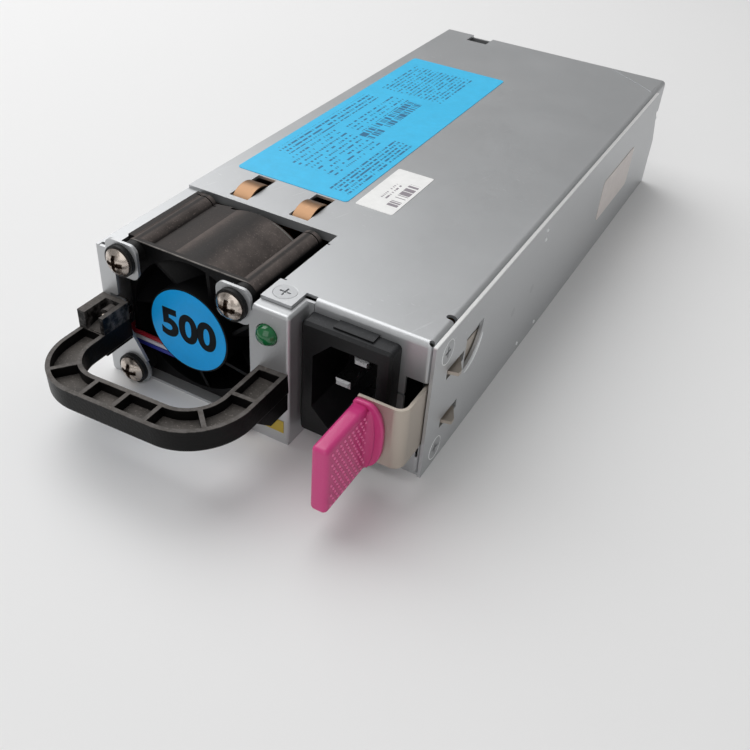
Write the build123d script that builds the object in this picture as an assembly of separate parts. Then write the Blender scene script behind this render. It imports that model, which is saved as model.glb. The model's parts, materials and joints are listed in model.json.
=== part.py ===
from build123d import *
import math
import os

# Hot swap server power supply, in millimetres.
# Each piece is modelled with x to the right, y measured back from the front panel and
# z up from the bottom. save() moves all of them so that the origin is the middle of the base.

# Driving dimensions of the case; its width is the sum of what stands side by side in it
case_height = 38.4
case_length = 195.5
sheet = 0.8
bend_radius = 1.4
panel_bend_radius = 0.9
fan_left_gap = 3.8
fan_right_gap = 1.2
lamp_column_width = 10.6
latch_space = 7.4
inlet_setback = 8.0
lip_leg_height = 16.0
lip_leg_width = 2.0
seam_gap = 0.15
panel_cover_gap = 0.1
corner_gap = 0.5
seam_overlap = 1.6

# Fan and its bay
fan_proud = 0.4
fan_depth = 28.0
fan_setback = 5.0
floor_setback = 2.0
fan_wall = 1.1
fan_flange = 1.2
fan_column_radius = 3.0
fan_column_proud = 1.0
fan_web_drop = 0.8
fan_collar_length = 1.6
fan_collar_groove = 0.35
fan_slope_start = 6.0
fan_valley_inset = 5.6
fan_valley_drop = 1.9
fan_ridge_width = 1.6
fan_screw_radius = 1.7
fan_screw_length = 12.0
fan_screw_clearance = 0.1
fan_screw_head_radius = 3.5
fan_screw_head_height = 1.9
fan_screw_rim = 0.35
grommet_radius = 4.1
grommet_lip = 1.2
grommet_neck_radius = 2.7
grommet_foot_radius = 2.9
ear_margin = 4.7
ear_round = 2.2
strip_width = 5.0
strip_low = 24.6

# Motor, vanes and rotor
hub_radius = 11.6
hub_front = 3.0
hub_wall = 1.3
hub_depth = 9.0
vane_count = 7
vane_first_angle = 61.0
vane_lean = 14.0
vane_twist = 24.0
vane_thickness = 0.9
vane_depth = 8.0
rotor_gap = 1.4
rotor_radius = 10.6
rotor_wall = 1.1
blade_count = 7
blade_tip_gap = 0.6
blade_thickness = 1.0
blade_depth = 12.0
blade_twist = 34.0
rotor_depth = 14.5
shaft_radius = 1.0
shaft_clearance = 0.03
bearing_radius = 2.6
bearing_length = 3.0
bearing_tube_wall = 0.8
magnet_thickness = 1.2
core_radius = 7.6
core_depth = 7.0
pole_count = 4

# Bay opening in the top of the case
top_flange_width = 3.9
top_flange_front = 1.5
bay_right_gap = 3.0
bay_rear_gap = 2.0
bay_relief_width = 0.5
bay_relief_reach = 0.7
bay_relief_front = 30.1
flap_left_gap = 1.0
flap_right_gap = 1.5
flap_front = 3.2
flap_step = 11.2
flap_screw_inset = 5.7
flap_screw_y = 7.2
cover_lip = 1.6
cover_lip_gap = 0.4
lip_clearance = 0.6
corner_hole_inset = 0.9
corner_hole_radius = 0.6
tray_edge_width = 2.4
tray_web_width = 6.4
rear_notch_left = 10.5
rear_notch_width = 7.9
rear_notch_depth = 6.8
hook_relief_y = 11.4
hook_relief_radius = 0.9
hook_relief_reach = 1.6

# Handle
handle_right_gap = 0.2
handle_reach = 29.5
handle_outer_radius = 15.3
handle_inner_radius = 8.8
handle_arm = 7.9
handle_bar = 7.5
handle_height = 5.8
handle_rise = 1.1
handle_tilt = 3.2
handle_rim = 1.1
handle_end_rim = 1.5
handle_recess = 2.6
handle_edge_round = 0.9
handle_rib = 1.1
handle_bar_ribs = 3
handle_first_rib = 3.3
handle_rib_pitch = 8.95
handle_right_spoke = 46.0
handle_left_spoke = -40.0
handle_left_rib = -8.2
handle_right_rib = -11.5
right_foot_depth = 9.5
right_foot_height = 10.4
left_foot_depth = 9.0
left_foot_height = 10.9
left_foot_cheek = 2.3
left_foot_inner_cheek = 1.2
left_foot_back = 1.6
left_foot_floor = 5.6
handle_boss_radius = 2.1
handle_boss_reach = 4.4
handle_boss_height = 7.6
handle_screw_radius = 1.3
handle_screw_reach = 5.6
handle_screw_head_radius = 2.4
handle_screw_head_height = 1.4

# Status lamp
lamp_right_gap = 5.9
lamp_top_gap = 7.6
lamp_radius = 2.8
lamp_clearance = 0.1
lamp_flange = 3.6
lamp_reach = 2.3

# Mains inlet, turned so that its long side stands upright
inlet_rise = 0.2
inlet_bezel_width = 23.0
inlet_bezel_margin = 6.4
inlet_bezel_depth = 4.5
inlet_body_inset = 1.5
inlet_body_end_inset = 2.0
inlet_body_depth = 18.0
inlet_hole_clearance = 0.2
socket_wall = 1.8
socket_end_wall = 1.9
socket_chamfer = 4.6
socket_depth = 17.0
pin_width = 4.0
pin_thickness = 2.0
pin_spacing = 14.0
pin_offset = 2.0
pin_recess = 4.0
earth_lead = 1.0
pin_tail = 5.0

# Release latch
latch_thickness = 0.8
latch_low = 10.1
latch_top_gap = 11.4
latch_front = -2.8
latch_bend = 2.8
latch_hinge = 53.0
latch_tail_length = 23.0
latch_end_gap = 0.1
latch_leg_inset = 0.4
wall_clearance = 0.2
tooth_front = 16.4
tooth_length = 6.2
tooth_reach = 2.2
tooth_thickness = 0.9
tooth_upper_inset = 1.7
tooth_lower_inset = 0.6
tooth_clearance = 1.0
grip_thickness = 3.4
grip_wall_gap = 12.2
grip_tip = -20.0
grip_low_step = 1.4
grip_high_step = 1.3
grip_round = 1.2
grip_flange_width = 8.6
grip_flange_thickness = 1.1
grip_flange_lap = 1.0
grip_flange_round = 3.4
latch_rivet_inset = 4.75
rivet_radius = 1.3
rivet_head_rim = 0.8
rivet_head_height = 0.7

# Side wall
wall_front = 7.5
wall_screw_y = 14.4
wall_screw_top_gap = 5.4
wall_screw_low = 4.4
flush_head_radius = 2.9
flush_head_gap = 0.12
flush_head_depth = 0.75
flush_shank_radius = 1.4
flush_shank_length = 4.0
flush_cross_span = 2.9
flush_cross_width = 0.5
flush_cross_depth = 0.35
window_front = 25.4
window_top_gap = 8.2
window_radius = 9.6
corner_cut_length = 12.5
corner_cut_height = 22.0

# Grounding fingers
finger_width = 5.2
finger_wall_gap = 14.4
finger_spacing = 18.4
finger_setback = 2.6
finger_length = 10.2
finger_rise = 1.1
finger_drop = 0.4
finger_thickness = 0.3
finger_slot_gap = 0.25
finger_slot_front_gap = 0.6
finger_slot_rear_gap = 2.6
finger_root = 1.6

# Labels
label_thickness = 0.15
rating_label_wall_gap = 4.0
rating_label_width = 34.8
rating_label_front = 51.0
rating_label_rear_gap = 37.5
serial_label_gap = 2.0
serial_label_width = 11.0
serial_label_front = 51.8
serial_label_length = 24.8
side_label_rear_gap = 32.0
side_label_length = 33.0
side_label_low = 12.2
side_label_height = 13.8
hub_label_margin = 0.45
caution_right_gap = 5.0
caution_z = 5.2
caution_width = 7.4
caution_height = 3.6

# Fan wires, from the fixed hub round the fan to the plug on the board
wire_radius = 0.6
wire_gap = 0.15
wire_pitch = 1.35
wire_board_gap = 3.1
wire_count = 3
wire_y = 4.1
wire_wall_gap = 2.1
wire_bend = 2.4
plug_side_gap = 5.3
plug_width = 5.0
plug_overhang = 1.4
plug_length = 7.0
plug_height = 7.0
plug_wall = 1.0

# Circuit board, its contact tongue and the rear vents
board_thickness = 1.6
board_z = 4.4
board_left_gap = 1.8
board_right_gap = 5.6
board_front_gap = 4.5
standoff_radius = 2.6
standoff_inset = 5.0
standoff_rear_inset = 6.0
contact_tongue_inset = 6.6
contact_tongue_width = 40.0
contact_tongue_reach = 9.0
contact_count = 16
contact_pitch = 2.4
contact_width = 1.6
contact_margin = 0.8
contact_thickness = 0.12
tongue_clearance = 1.0
vent_radius = 1.9
vent_pitch = 5.0
vent_margin = 6.5
vent_low = 13.6

# Capacitors on the board
can_radius = 10.5
can_count = 2
can_gap = 2.0
can_side_gap = 2.1
can_top_gap = 2.6
can_edge = 1.0
can_groove_low = 3.0
can_groove_width = 1.0
can_groove_depth = 0.6
small_can_side_gap = 4.6
small_can_pitch = 9.5
small_can_radius = 4.0
small_can_height = 18.0
small_can_gap = 0.9

# Wound ring cores on the board
choke_side_gap = 0.4
choke_top_gap = 6.4
choke_input_ring = 7.0
choke_input_section = 4.2
choke_boost_ring = 11.0
choke_boost_section = 5.6
choke_output_section = 4.6
choke_sides = 8

# Heat sinks and power packages on the board
sink_thickness = 2.4
sink_top_gap = 3.6
sink_right_gap = 6.8
fin_count = 5
fin_thickness = 1.6
fin_reach = 6.0
fin_lift = 3.0
primary_sink_gap = 2.6
output_sink_gap = 4.6
primary_package_count = 4
output_package_count = 3
package_inset = 8.0
package_width = 10.0
package_depth = 4.5
package_top_gap = 6.6
package_lift = 6.0
package_leg_pitch = 2.5
package_leg_width = 1.0
package_leg_depth = 0.8

# Transformer on the board
core_half_width = 14.0
core_length = 18.0
core_lift = 1.0
core_top_gap = 4.6
core_bar = 5.0
core_leg = 4.5
winding_overhang = 3.5
winding_round = 2.0
winding_foot_inset = 2.5

# Places worked out from the driving dimensions: fan, columns and walls
fan_size = case_height + fan_proud - sheet
fan_half = fan_size / 2
column_widths = fan_left_gap + fan_size + fan_right_gap + lamp_column_width + inlet_bezel_width + latch_space
case_width = column_widths + 3 * sheet
half_width = case_width / 2
inner = half_width - sheet
cover_under = case_height - sheet
flange_top = cover_under
fan_x = -inner + fan_left_gap + fan_half
fan_z = sheet + fan_half
fan_right = fan_x + fan_half
fan_rear = fan_setback + fan_depth
bore_radius = fan_half - fan_wall
rotor_front = fan_setback + vane_depth + rotor_gap
fan_screw_offset = fan_half - fan_column_radius
fan_holes = [
    (fan_x + side * fan_screw_offset, fan_z + level * fan_screw_offset)
    for side in (-1, 1)
    for level in (-1, 1)
]
panel_left = fan_right + fan_right_gap
fan_bay_right = panel_left + lamp_column_width
flap_left = panel_left + flap_left_gap
flap_right = fan_bay_right - flap_right_gap
bay_left = -half_width + top_flange_width
bay_right = fan_right + bay_right_gap
bay_rear = fan_rear + bay_rear_gap

# Places of the handle, the lamp and the inlet
handle_left = -half_width
handle_right = fan_bay_right - handle_right_gap
handle_width = handle_right - handle_left
handle_x = handle_left + handle_width / 2
handle_top = case_height / 2 + handle_rise
handle_slope = math.tan(math.radians(handle_tilt)) * handle_width / 2
left_foot_low = handle_top - handle_slope - handle_height
left_foot_top = left_foot_low + left_foot_height
right_foot_top = handle_top + handle_slope
lamp_x = fan_bay_right - lamp_right_gap
lamp_z = case_height - lamp_top_gap
inlet_x = fan_bay_right + sheet + inlet_bezel_width / 2
inlet_z = case_height / 2 + inlet_rise
inlet_bezel_height = case_height - inlet_bezel_margin
inlet_body_width = inlet_bezel_width - 2 * inlet_body_inset
inlet_body_height = inlet_bezel_height - 2 * inlet_body_end_inset
socket_width = inlet_body_width - 2 * socket_wall
socket_height = inlet_body_height - 2 * socket_end_wall
plate_back = inlet_setback + sheet
inlet_front = inlet_setback - inlet_bezel_depth
lip_left = fan_bay_right + seam_overlap
lip_leg_low = case_height - lip_leg_height
leg_left = inlet_x + inlet_bezel_width / 2 - 2 * inlet_hole_clearance
leg_right = leg_left + lip_leg_width

# Places of the latch and of what is in the right wall
latch_high = case_height - latch_top_gap
latch_tail = latch_hinge + latch_tail_length
latch_outer = inner - wall_clearance
latch_inner = latch_outer - latch_thickness
grip_left = inner - grip_wall_gap
grip_low = latch_low - grip_low_step
grip_high = latch_high - grip_high_step
latch_leg_end = grip_left + latch_leg_inset
tooth_upper = latch_high - tooth_upper_inset
tooth_lower = latch_low + tooth_lower_inset
latch_rivet_y = (latch_hinge + latch_rivet_inset, latch_tail - latch_rivet_inset)
latch_rivet_z = (latch_low + latch_high) / 2
wall_screw_high = case_height - wall_screw_top_gap
window_top = case_height - window_top_gap
corner_top = latch_low - corner_gap
panel_top = flange_top - panel_cover_gap

# Places of the fingers, the labels and the wires
finger_left_x = -half_width + finger_wall_gap
finger_right_x = finger_left_x + finger_spacing
finger_front = bay_rear + finger_setback
finger_rear = finger_front + finger_length
rating_label_left = -half_width + rating_label_wall_gap
rating_label_rear = case_length - rating_label_rear_gap
serial_label_left = rating_label_left + rating_label_width + serial_label_gap
side_label_front = case_length - side_label_rear_gap - side_label_length
caution_x = fan_bay_right - caution_right_gap
wire_lane_x = -inner + wire_wall_gap

# The board and the rows of parts on it, from the plug at the front to the rear edge
board_left = -inner + board_left_gap
board_right = inner - board_right_gap
board_middle = (board_left + board_right) / 2
board_top = board_z + board_thickness
board_front = fan_rear + board_front_gap
board_rear = case_length - sheet - tongue_clearance
headroom = cover_under - board_top
contact_tongue_left = board_left + contact_tongue_inset
contact_tongue_right = contact_tongue_left + contact_tongue_width
plug_left = board_left + plug_side_gap
plug_front = board_front - plug_overhang
plug_rear = plug_front + plug_length
boost_reach = choke_boost_ring + choke_boost_section
input_reach = choke_input_ring + choke_input_section
choke_output_ring = (headroom - choke_top_gap) / 2 - choke_output_section
output_reach = choke_output_ring + choke_output_section
sink_depth = package_depth + sink_thickness + fin_reach
row_depths = (
    2 * boost_reach, sink_depth, 2 * can_radius, sink_depth,
    core_length + 2 * winding_overhang, 2 * choke_output_section,
)
row_gap = (board_rear - plug_rear - sum(row_depths)) / (len(row_depths) + 1)
row_fronts = [
    plug_rear + (index + 1) * row_gap + sum(row_depths[:index])
    for index in range(len(row_depths))
]
choke_row_y = row_fronts[0] + boost_reach
primary_sink_y = row_fronts[1] + package_depth
can_y = row_fronts[2] + can_radius
output_sink_y = row_fronts[3] + fin_reach
core_front = row_fronts[4] + winding_overhang
output_row_y = row_fronts[5] + choke_output_section
choke_output_x = board_right - choke_side_gap - output_reach
small_can_left = board_left + small_can_side_gap + small_can_radius
small_can_room = choke_output_x - output_reach - small_can_gap - small_can_left - small_can_radius
small_can_count = int(small_can_room / small_can_pitch) + 1
can_height = headroom - can_top_gap
sink_height = headroom - sink_top_gap
sink_right = board_right - sink_right_gap
package_height = sink_height - package_lift - package_top_gap
core_height = headroom - core_lift - core_top_gap


# Building helpers
def block(x0, x1, y0, y1, z0, z1):
    """A rectangular block between the given limits."""
    middle = Pos((x0 + x1) / 2, (y0 + y1) / 2, (z0 + z1) / 2)
    return middle * Box(x1 - x0, y1 - y0, z1 - z0)


def area(u0, u1, v0, v1):
    """A rectangle between the given limits."""
    return Pos((u0 + u1) / 2, (v0 + v1) / 2) * Rectangle(u1 - u0, v1 - v0)


def rounded_area(u0, u1, v0, v1, radius):
    """A rectangle with round corners between the given limits."""
    return Pos((u0 + u1) / 2, (v0 + v1) / 2) * RectangleRounded(u1 - u0, v1 - v0, radius)


def spot(u, v, radius):
    """A round area."""
    return Pos(u, v) * Circle(radius)


def outline(*points):
    """A flat area inside straight edges."""
    return make_face(Polyline(*points, close=True))


def front_plate(shape, y0, y1):
    """An area drawn in x and z, given thickness from y0 to y1."""
    return extrude(Plane.XZ.offset(-y1) * shape, y1 - y0)


def side_plate(shape, x0, x1):
    """An area drawn in y and z, given thickness from x0 to x1."""
    return extrude(Plane.YZ.offset(x0) * shape, x1 - x0)


def flat_plate(shape, z0, z1):
    """An area drawn in x and y, given thickness from z0 to z1."""
    return extrude(Plane.XY.offset(z0) * shape, z1 - z0)


def rod_y(x, z, radius, y0, y1):
    """A round bar along y."""
    return front_plate(spot(x, z, radius), y0, y1)


def rod_z(x, y, radius, z0, z1):
    """A round bar along z."""
    return flat_plate(spot(x, y, radius), z0, z1)


def round_corner(shape, u, v, radius):
    """Round the corner of an area that lies at u and v."""
    corner = shape.vertices().filter_by(lambda point: abs(point.X - u) < 0.01 and abs(point.Y - v) < 0.01)
    return fillet(corner, radius)


def upright_edges(piece, x, y):
    """The vertical edges of a piece that pass through one point of its plan."""
    near = piece.edges().filter_by(Axis.Z)
    return near.filter_by(lambda edge: abs(edge.center().X - x) < 0.01 and abs(edge.center().Y - y) < 0.01)


def save(name, *pieces):
    """Write one node, moved so that the origin is the middle of the base."""
    solids = [solid for piece in pieces for solid in piece.solids()]
    shift = Pos(0, -case_length / 2, 0)
    export_step(Compound(children=[shift * solid for solid in solids]), f"parts/{name}.step")


# Flush screws that hold the sheets together
def flush_screw():
    """A countersunk screw with a cross recess, head up at z = 0, shank down."""
    top_radius = flush_head_radius - flush_head_gap
    head = Pos(0, 0, -flush_head_depth / 2) * Cone(flush_shank_radius, top_radius, flush_head_depth)
    shank = rod_z(0, 0, flush_shank_radius, -flush_shank_length, -flush_head_depth)
    cross = cross_recess(flush_cross_span, flush_cross_width, flush_cross_depth)
    return head + shank - cross


def cross_recess(span, width, depth):
    """The cross-shaped hollow of a screw head, cut down from z = 0."""
    bar = Pos(0, 0, -depth / 2) * Box(span, width, depth)
    return bar + Rot(0, 0, 90) * bar


def flush_sink():
    """The tapered hole that a flush screw sits in, with the sheet's top at z = 0."""
    taper = Pos(0, 0, -flush_head_depth / 2) * Cone(flush_shank_radius, flush_head_radius, flush_head_depth)
    return taper + rod_z(0, 0, flush_shank_radius, -flush_shank_length, -flush_head_depth)


def at_wall(y, z):
    """The place of a flush screw in the right wall."""
    return Pos(half_width, y, z) * Rot(0, 90, 0)


def at_flap():
    """The place of the flush screw in the cover's flap."""
    return Pos(fan_bay_right - flap_screw_inset, flap_screw_y, case_height)


# Case
def ear_area(x, z):
    """The round-cornered ear that holds one upper screw of the fan."""
    return rounded_area(x - ear_margin, x + ear_margin, z - ear_margin, z + ear_margin, ear_round)


def tray_front_area():
    """The left front edge of the tray: strip, upper ear, arm and lower lug."""
    left = -half_width
    high_x, high_z = fan_holes[1]
    low_x, low_z = fan_holes[0]
    strip = rounded_area(left, left + strip_width, strip_low, flange_top - seam_gap, bend_radius / 2)
    web = area(left, left + tray_web_width, left_foot_low + sheet, left_foot_top - seam_gap)
    edge = area(left, left + tray_edge_width, sheet, strip_low + bend_radius)
    arm = outline(
        (left, left_foot_top), (left + tray_edge_width, left_foot_top),
        (low_x + ear_margin * 0.9, low_z + ear_margin * 0.7), (low_x - ear_margin, low_z - ear_round), (left, sheet),
    )
    shape = strip + ear_area(high_x, high_z) + web + edge + arm + spot(low_x, low_z, ear_margin)
    shape -= area(left, fan_bay_right, -ear_margin, 0)
    screw_x, screw_z = handle_screw_places()[0]
    holes = spot(high_x, high_z, grommet_neck_radius) + spot(low_x, low_z, grommet_neck_radius)
    return shape - holes - spot(screw_x, screw_z, handle_screw_radius)


def wall_openings():
    """The holes of the right wall: latch slots, window, screw holes and rivet holes."""
    slot_front = tooth_front - tooth_clearance
    slot_rear = tooth_front + tooth_length + 2 * tooth_clearance
    slots = [
        area(slot_front, slot_rear, level - tooth_thickness, level + 2 * tooth_thickness)
        for level in (tooth_upper, tooth_lower)
    ]
    corner = Pos(window_front, window_top) * Circle(window_radius)
    window = corner & area(window_front, window_front + window_radius, window_top - window_radius, window_top)
    cut = side_plate(slots[0] + slots[1] + window, inner - 0.1, half_width + 0.1)
    for height in (wall_screw_high, wall_screw_low):
        cut += at_wall(wall_screw_y, height) * flush_sink()
    for y in latch_rivet_y:
        cut += side_plate(spot(y, latch_rivet_z, rivet_radius), inner - 0.1, half_width + 0.1)
    return cut


def base_tray():
    """The folded tray: floor, both side walls, the left top flange and the left front edge."""
    floor = flat_plate(
        outline(
            (-half_width, 0), (-half_width + tray_edge_width, 0), (-half_width + tray_edge_width, floor_setback),
            (panel_left, floor_setback), (panel_left, 0), (fan_bay_right, 0), (fan_bay_right, inlet_setback),
            (half_width, inlet_setback), (half_width, case_length), (-half_width, case_length),
        ),
        0, sheet,
    )
    left = block(-half_width, -inner, 0, case_length, 0, flange_top)
    flange = block(-half_width, bay_left, top_flange_front, case_length - sheet, flange_top - sheet, flange_top)
    wall_shape = outline(
        (wall_front, 0), (case_length, 0), (case_length, case_height - corner_cut_height),
        (case_length - corner_cut_length, case_height - seam_gap), (wall_front, case_height - seam_gap),
    )
    right = side_plate(wall_shape, inner, half_width) - wall_openings()
    tray = floor + left + flange + right + front_plate(tray_front_area(), 0, sheet)
    tray = fillet(tray.edges().filter_by(Axis.Y).group_by(Axis.Z)[0].sort_by(Axis.X)[0], bend_radius * 0.7)
    return tray


def cover_area():
    """The plan of the cover, with the fan bay, the flap, the notches and the finger slots."""
    right = inner - seam_gap
    shape = outline(
        (-half_width, bay_rear), (bay_right, bay_rear), (bay_right, flap_step), (flap_left, flap_step),
        (flap_left, flap_front), (flap_right, flap_front), (flap_right, inlet_setback + seam_overlap),
        (lip_left, inlet_setback + seam_overlap), (lip_left, inlet_setback),
        (right, inlet_setback), (right, case_length), (-half_width, case_length),
    )
    for y in (bay_relief_front, flap_step):
        shape -= area(bay_right - sheet, bay_right + bay_relief_reach, y, y + bay_relief_width)
    notch_left = -half_width + rear_notch_left
    shape -= area(notch_left, notch_left + rear_notch_width, case_length - rear_notch_depth, case_length)
    hook_y = inlet_setback + hook_relief_y
    hook_left = right - hook_relief_reach
    shape -= area(hook_left, right, hook_y - hook_relief_radius, hook_y + hook_relief_radius)
    shape -= spot(hook_left, hook_y, hook_relief_radius)
    shape -= spot(right - corner_hole_inset, inlet_setback + corner_hole_inset, corner_hole_radius)
    for x in (finger_left_x, finger_right_x):
        half = finger_width / 2 + finger_slot_gap
        slot_front = finger_front - finger_slot_front_gap
        shape -= area(x - half, x + half, slot_front, finger_rear + finger_slot_rear_gap)
    return shape


def inlet_hole():
    """The cut-out that the body of the inlet passes through."""
    half_x = inlet_body_width / 2 + inlet_hole_clearance
    half_z = inlet_body_height / 2 + inlet_hole_clearance
    return area(inlet_x - half_x, inlet_x + half_x, inlet_z - half_z, inlet_z + half_z)


def folded_shell(x1, y0, y1, z0, z1, radius):
    """Top, right side and front of a folded box whose left, rear and floor are open."""
    outside = block(-half_width, x1, y0, y1, z0, z1)
    outside = fillet(fold_edges(outside, x1, y0, z1), radius)
    hollow = block(-half_width - 1, x1 - sheet, y0 + sheet, y1 + 1, z0 - 1, z1 - sheet)
    hollow = fillet(fold_edges(hollow, x1 - sheet, y0 + sheet, z1 - sheet), max(radius - sheet, 0.1))
    return outside - hollow


def fold_edges(piece, x1, y0, z1):
    """The top right, top front and upright right front edges of a block."""
    return piece.edges().filter_by(
        lambda edge: sum((
            abs(edge.center().X - x1) < 0.01,
            abs(edge.center().Y - y0) < 0.01,
            abs(edge.center().Z - z1) < 0.01,
        )) == 2)


def top_cover():
    """The folded cover: top, right flange, lip over the inlet and lip behind the fan."""
    right = inner - seam_gap
    lip_low = latch_high + lip_clearance
    shell = folded_shell(right, inlet_setback, case_length, lip_leg_low, case_height, bend_radius)
    shell -= block(-half_width - 1, leg_left, 0, case_length + 1, 0, lip_low)
    shell -= block(leg_right, right + 1, 0, case_length + 1, 0, lip_low)
    shell -= block(-half_width - 1, lip_left, 0, plate_back + 1, 0, cover_under)
    shell -= front_plate(inlet_hole(), 0, plate_back + 1)
    shell += block(flap_left, flap_right, flap_front, flap_step, cover_under, case_height)
    cover = shell & flat_plate(cover_area(), 0, case_height + 1)
    cover += block(bay_left + cover_lip_gap, bay_right, bay_rear, bay_rear + sheet,
                   cover_under - cover_lip, cover_under)
    hole = Pos(half_width, wall_screw_y, wall_screw_high) * Rot(0, 90, 0)
    cover -= hole * rod_z(0, 0, flush_shank_radius, -flush_shank_length, 0)
    return cover - at_flap() * flush_sink()


def panel_front_area():
    """The face right of the fan: lamp panel, upper ear and lower lug."""
    high_x, high_z = fan_holes[3]
    low_x, low_z = fan_holes[2]
    fold_left = panel_left + flap_left_gap
    face = area(fold_left, fan_bay_right, sheet, panel_top) + area(panel_left, fold_left + sheet, sheet, high_z)
    lug = spot(low_x, low_z, ear_margin) & area(low_x - 2 * ear_margin, panel_left, 0, high_z)
    root = area(low_x, panel_left + sheet, sheet, low_z + ear_margin)
    shape = face + ear_area(high_x, high_z) + lug + root
    shape -= spot(high_x, high_z, grommet_neck_radius) + spot(low_x, low_z, grommet_neck_radius)
    return shape - spot(lamp_x, lamp_z, lamp_radius + lamp_clearance)


def panel_plate_area():
    """The set-back plate round the inlet, with its corner beside the latch."""
    left = fan_bay_right - sheet
    leg_top = lip_leg_low - lip_clearance
    shape = area(left, leg_right, sheet, inlet_z)
    shape += area(left, lip_left - seam_gap, sheet, panel_top)
    shape += rounded_area(leg_left, leg_right, corner_top, leg_top, bend_radius / 2)
    shape += area(leg_right, inner, sheet, corner_top)
    return shape - inlet_hole()


def front_panel():
    """The folded front panel: lamp face, return, inlet plate and corner flange."""
    box = folded_shell(fan_bay_right, 0, plate_back, sheet, panel_top, panel_bend_radius)
    face = front_plate(panel_front_area(), 0, sheet)
    fold_left = panel_left + flap_left_gap
    shell = box & block(fold_left, fan_bay_right, -1, plate_back, 0, case_height)
    shell -= rod_y(lamp_x, lamp_z, lamp_radius + lamp_clearance, -1, sheet + 1)
    plate = front_plate(panel_plate_area(), inlet_setback, plate_back)
    corner = block(inner - sheet, inner, inlet_setback, hook_relief_y + inlet_setback, sheet, corner_top)
    corner += block(fan_bay_right, inner, inlet_setback, plate_back, sheet, inlet_z - inlet_body_height / 2)
    corner = fillet(upright_edges(corner, inner, inlet_setback), bend_radius)
    cut = block(inner - bend_radius, inner + 1, inlet_setback - 1, inlet_setback + bend_radius, 0, case_height)
    plate = (plate - cut) + corner
    bend = panel_bend_radius
    face -= block(fan_bay_right - bend, fan_bay_right + 1, -1, sheet + 1, 0, case_height)
    face -= block(fold_left, fan_bay_right + 1, -1, sheet + 1, panel_top - bend, case_height)
    panel = shell + face + plate - front_plate(inlet_hole(), 0, plate_back + 1)
    hole = Pos(inner, wall_screw_y, wall_screw_low) * Rot(0, 90, 0) * rod_z(0, 0, flush_shank_radius, -sheet * 2, 0)
    screw_x, screw_z = handle_screw_places()[1]
    panel -= rod_y(screw_x, screw_z, handle_screw_radius, -1, sheet + 1)
    return panel - hole - at_flap() * rod_z(0, 0, flush_shank_radius, -flush_shank_length, 0)


def rear_panel():
    """The rear wall, with a mouth for the contact tongue and a field of vent holes."""
    right = inner - seam_gap - sheet
    shape = outline((-inner, sheet), (right, sheet), (right, cover_under - bend_radius),
                    (right - bend_radius, cover_under), (-inner, cover_under))
    mouth = area(
        contact_tongue_left - tongue_clearance, contact_tongue_right + tongue_clearance,
        board_z - tongue_clearance, board_top + tongue_clearance,
    )
    shape -= mouth
    row_pitch = vent_pitch * math.sin(math.radians(60))
    rows = int((cover_under - vent_margin - vent_low) / row_pitch) + 1
    columns = int(2 * (inner - vent_margin) / vent_pitch) + 1
    vent = RegularPolygon(vent_radius, 6, rotation=30)
    for row in range(rows):
        for column in range(columns):
            x = -inner + vent_margin + column * vent_pitch + (row % 2) * vent_pitch / 2
            shape -= Pos(x, vent_low + row * row_pitch) * vent
    return front_plate(shape, case_length - sheet, case_length)


# Fan
def ring_sector(inner_radius, outer_radius, angle, lean, thickness):
    """A thin leaning strip between two radii, drawn round the fan's axis."""
    corners = []
    for radius, turn in ((inner_radius, 0), (outer_radius, lean)):
        heading = math.radians(angle + turn)
        corners.append((radius * math.cos(heading), radius * math.sin(heading)))
    (x0, z0), (x1, z1) = corners
    span = math.hypot(x1 - x0, z1 - z0)
    nx = -(z1 - z0) / span * thickness / 2
    nz = (x1 - x0) / span * thickness / 2
    return outline((x0 + nx, z0 + nz), (x1 + nx, z1 + nz), (x1 - nx, z1 - nz), (x0 - nx, z0 - nz))


def twisted_blade(inner_radius, outer_radius, angle, lean, twist, thickness, y0, y1):
    """A blade lofted through three leaning strips, each turned further round the axis."""
    steps = 3
    strips = []
    for step in range(steps):
        share = step / (steps - 1)
        y = y0 + share * (y1 - y0)
        shape = ring_sector(inner_radius, outer_radius, angle - share * twist, lean, thickness)
        strips.append(Plane.XZ.offset(-y) * Pos(fan_x, fan_z) * shape)
    return loft(strips)


def fan_profile():
    """The outline behind the fan's flange: tube, four corner columns, webs and one sloping side."""
    web = fan_screw_offset - fan_web_drop
    shape = spot(0, 0, fan_half) + area(-web, web, -web, web)
    for x in (-fan_screw_offset, fan_screw_offset):
        for z in (-fan_screw_offset, fan_screw_offset):
            shape += spot(x, z, fan_column_radius)
    start_z = math.sqrt(fan_half ** 2 - fan_slope_start ** 2)
    slope = outline(
        (0, 0), (-fan_slope_start, start_z), (-fan_half + fan_valley_inset, fan_half - fan_valley_drop),
        (-fan_half + fan_ridge_width, fan_half), (-fan_half, fan_half), (-fan_half, fan_screw_offset),
    )
    return shape + slope


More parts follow.
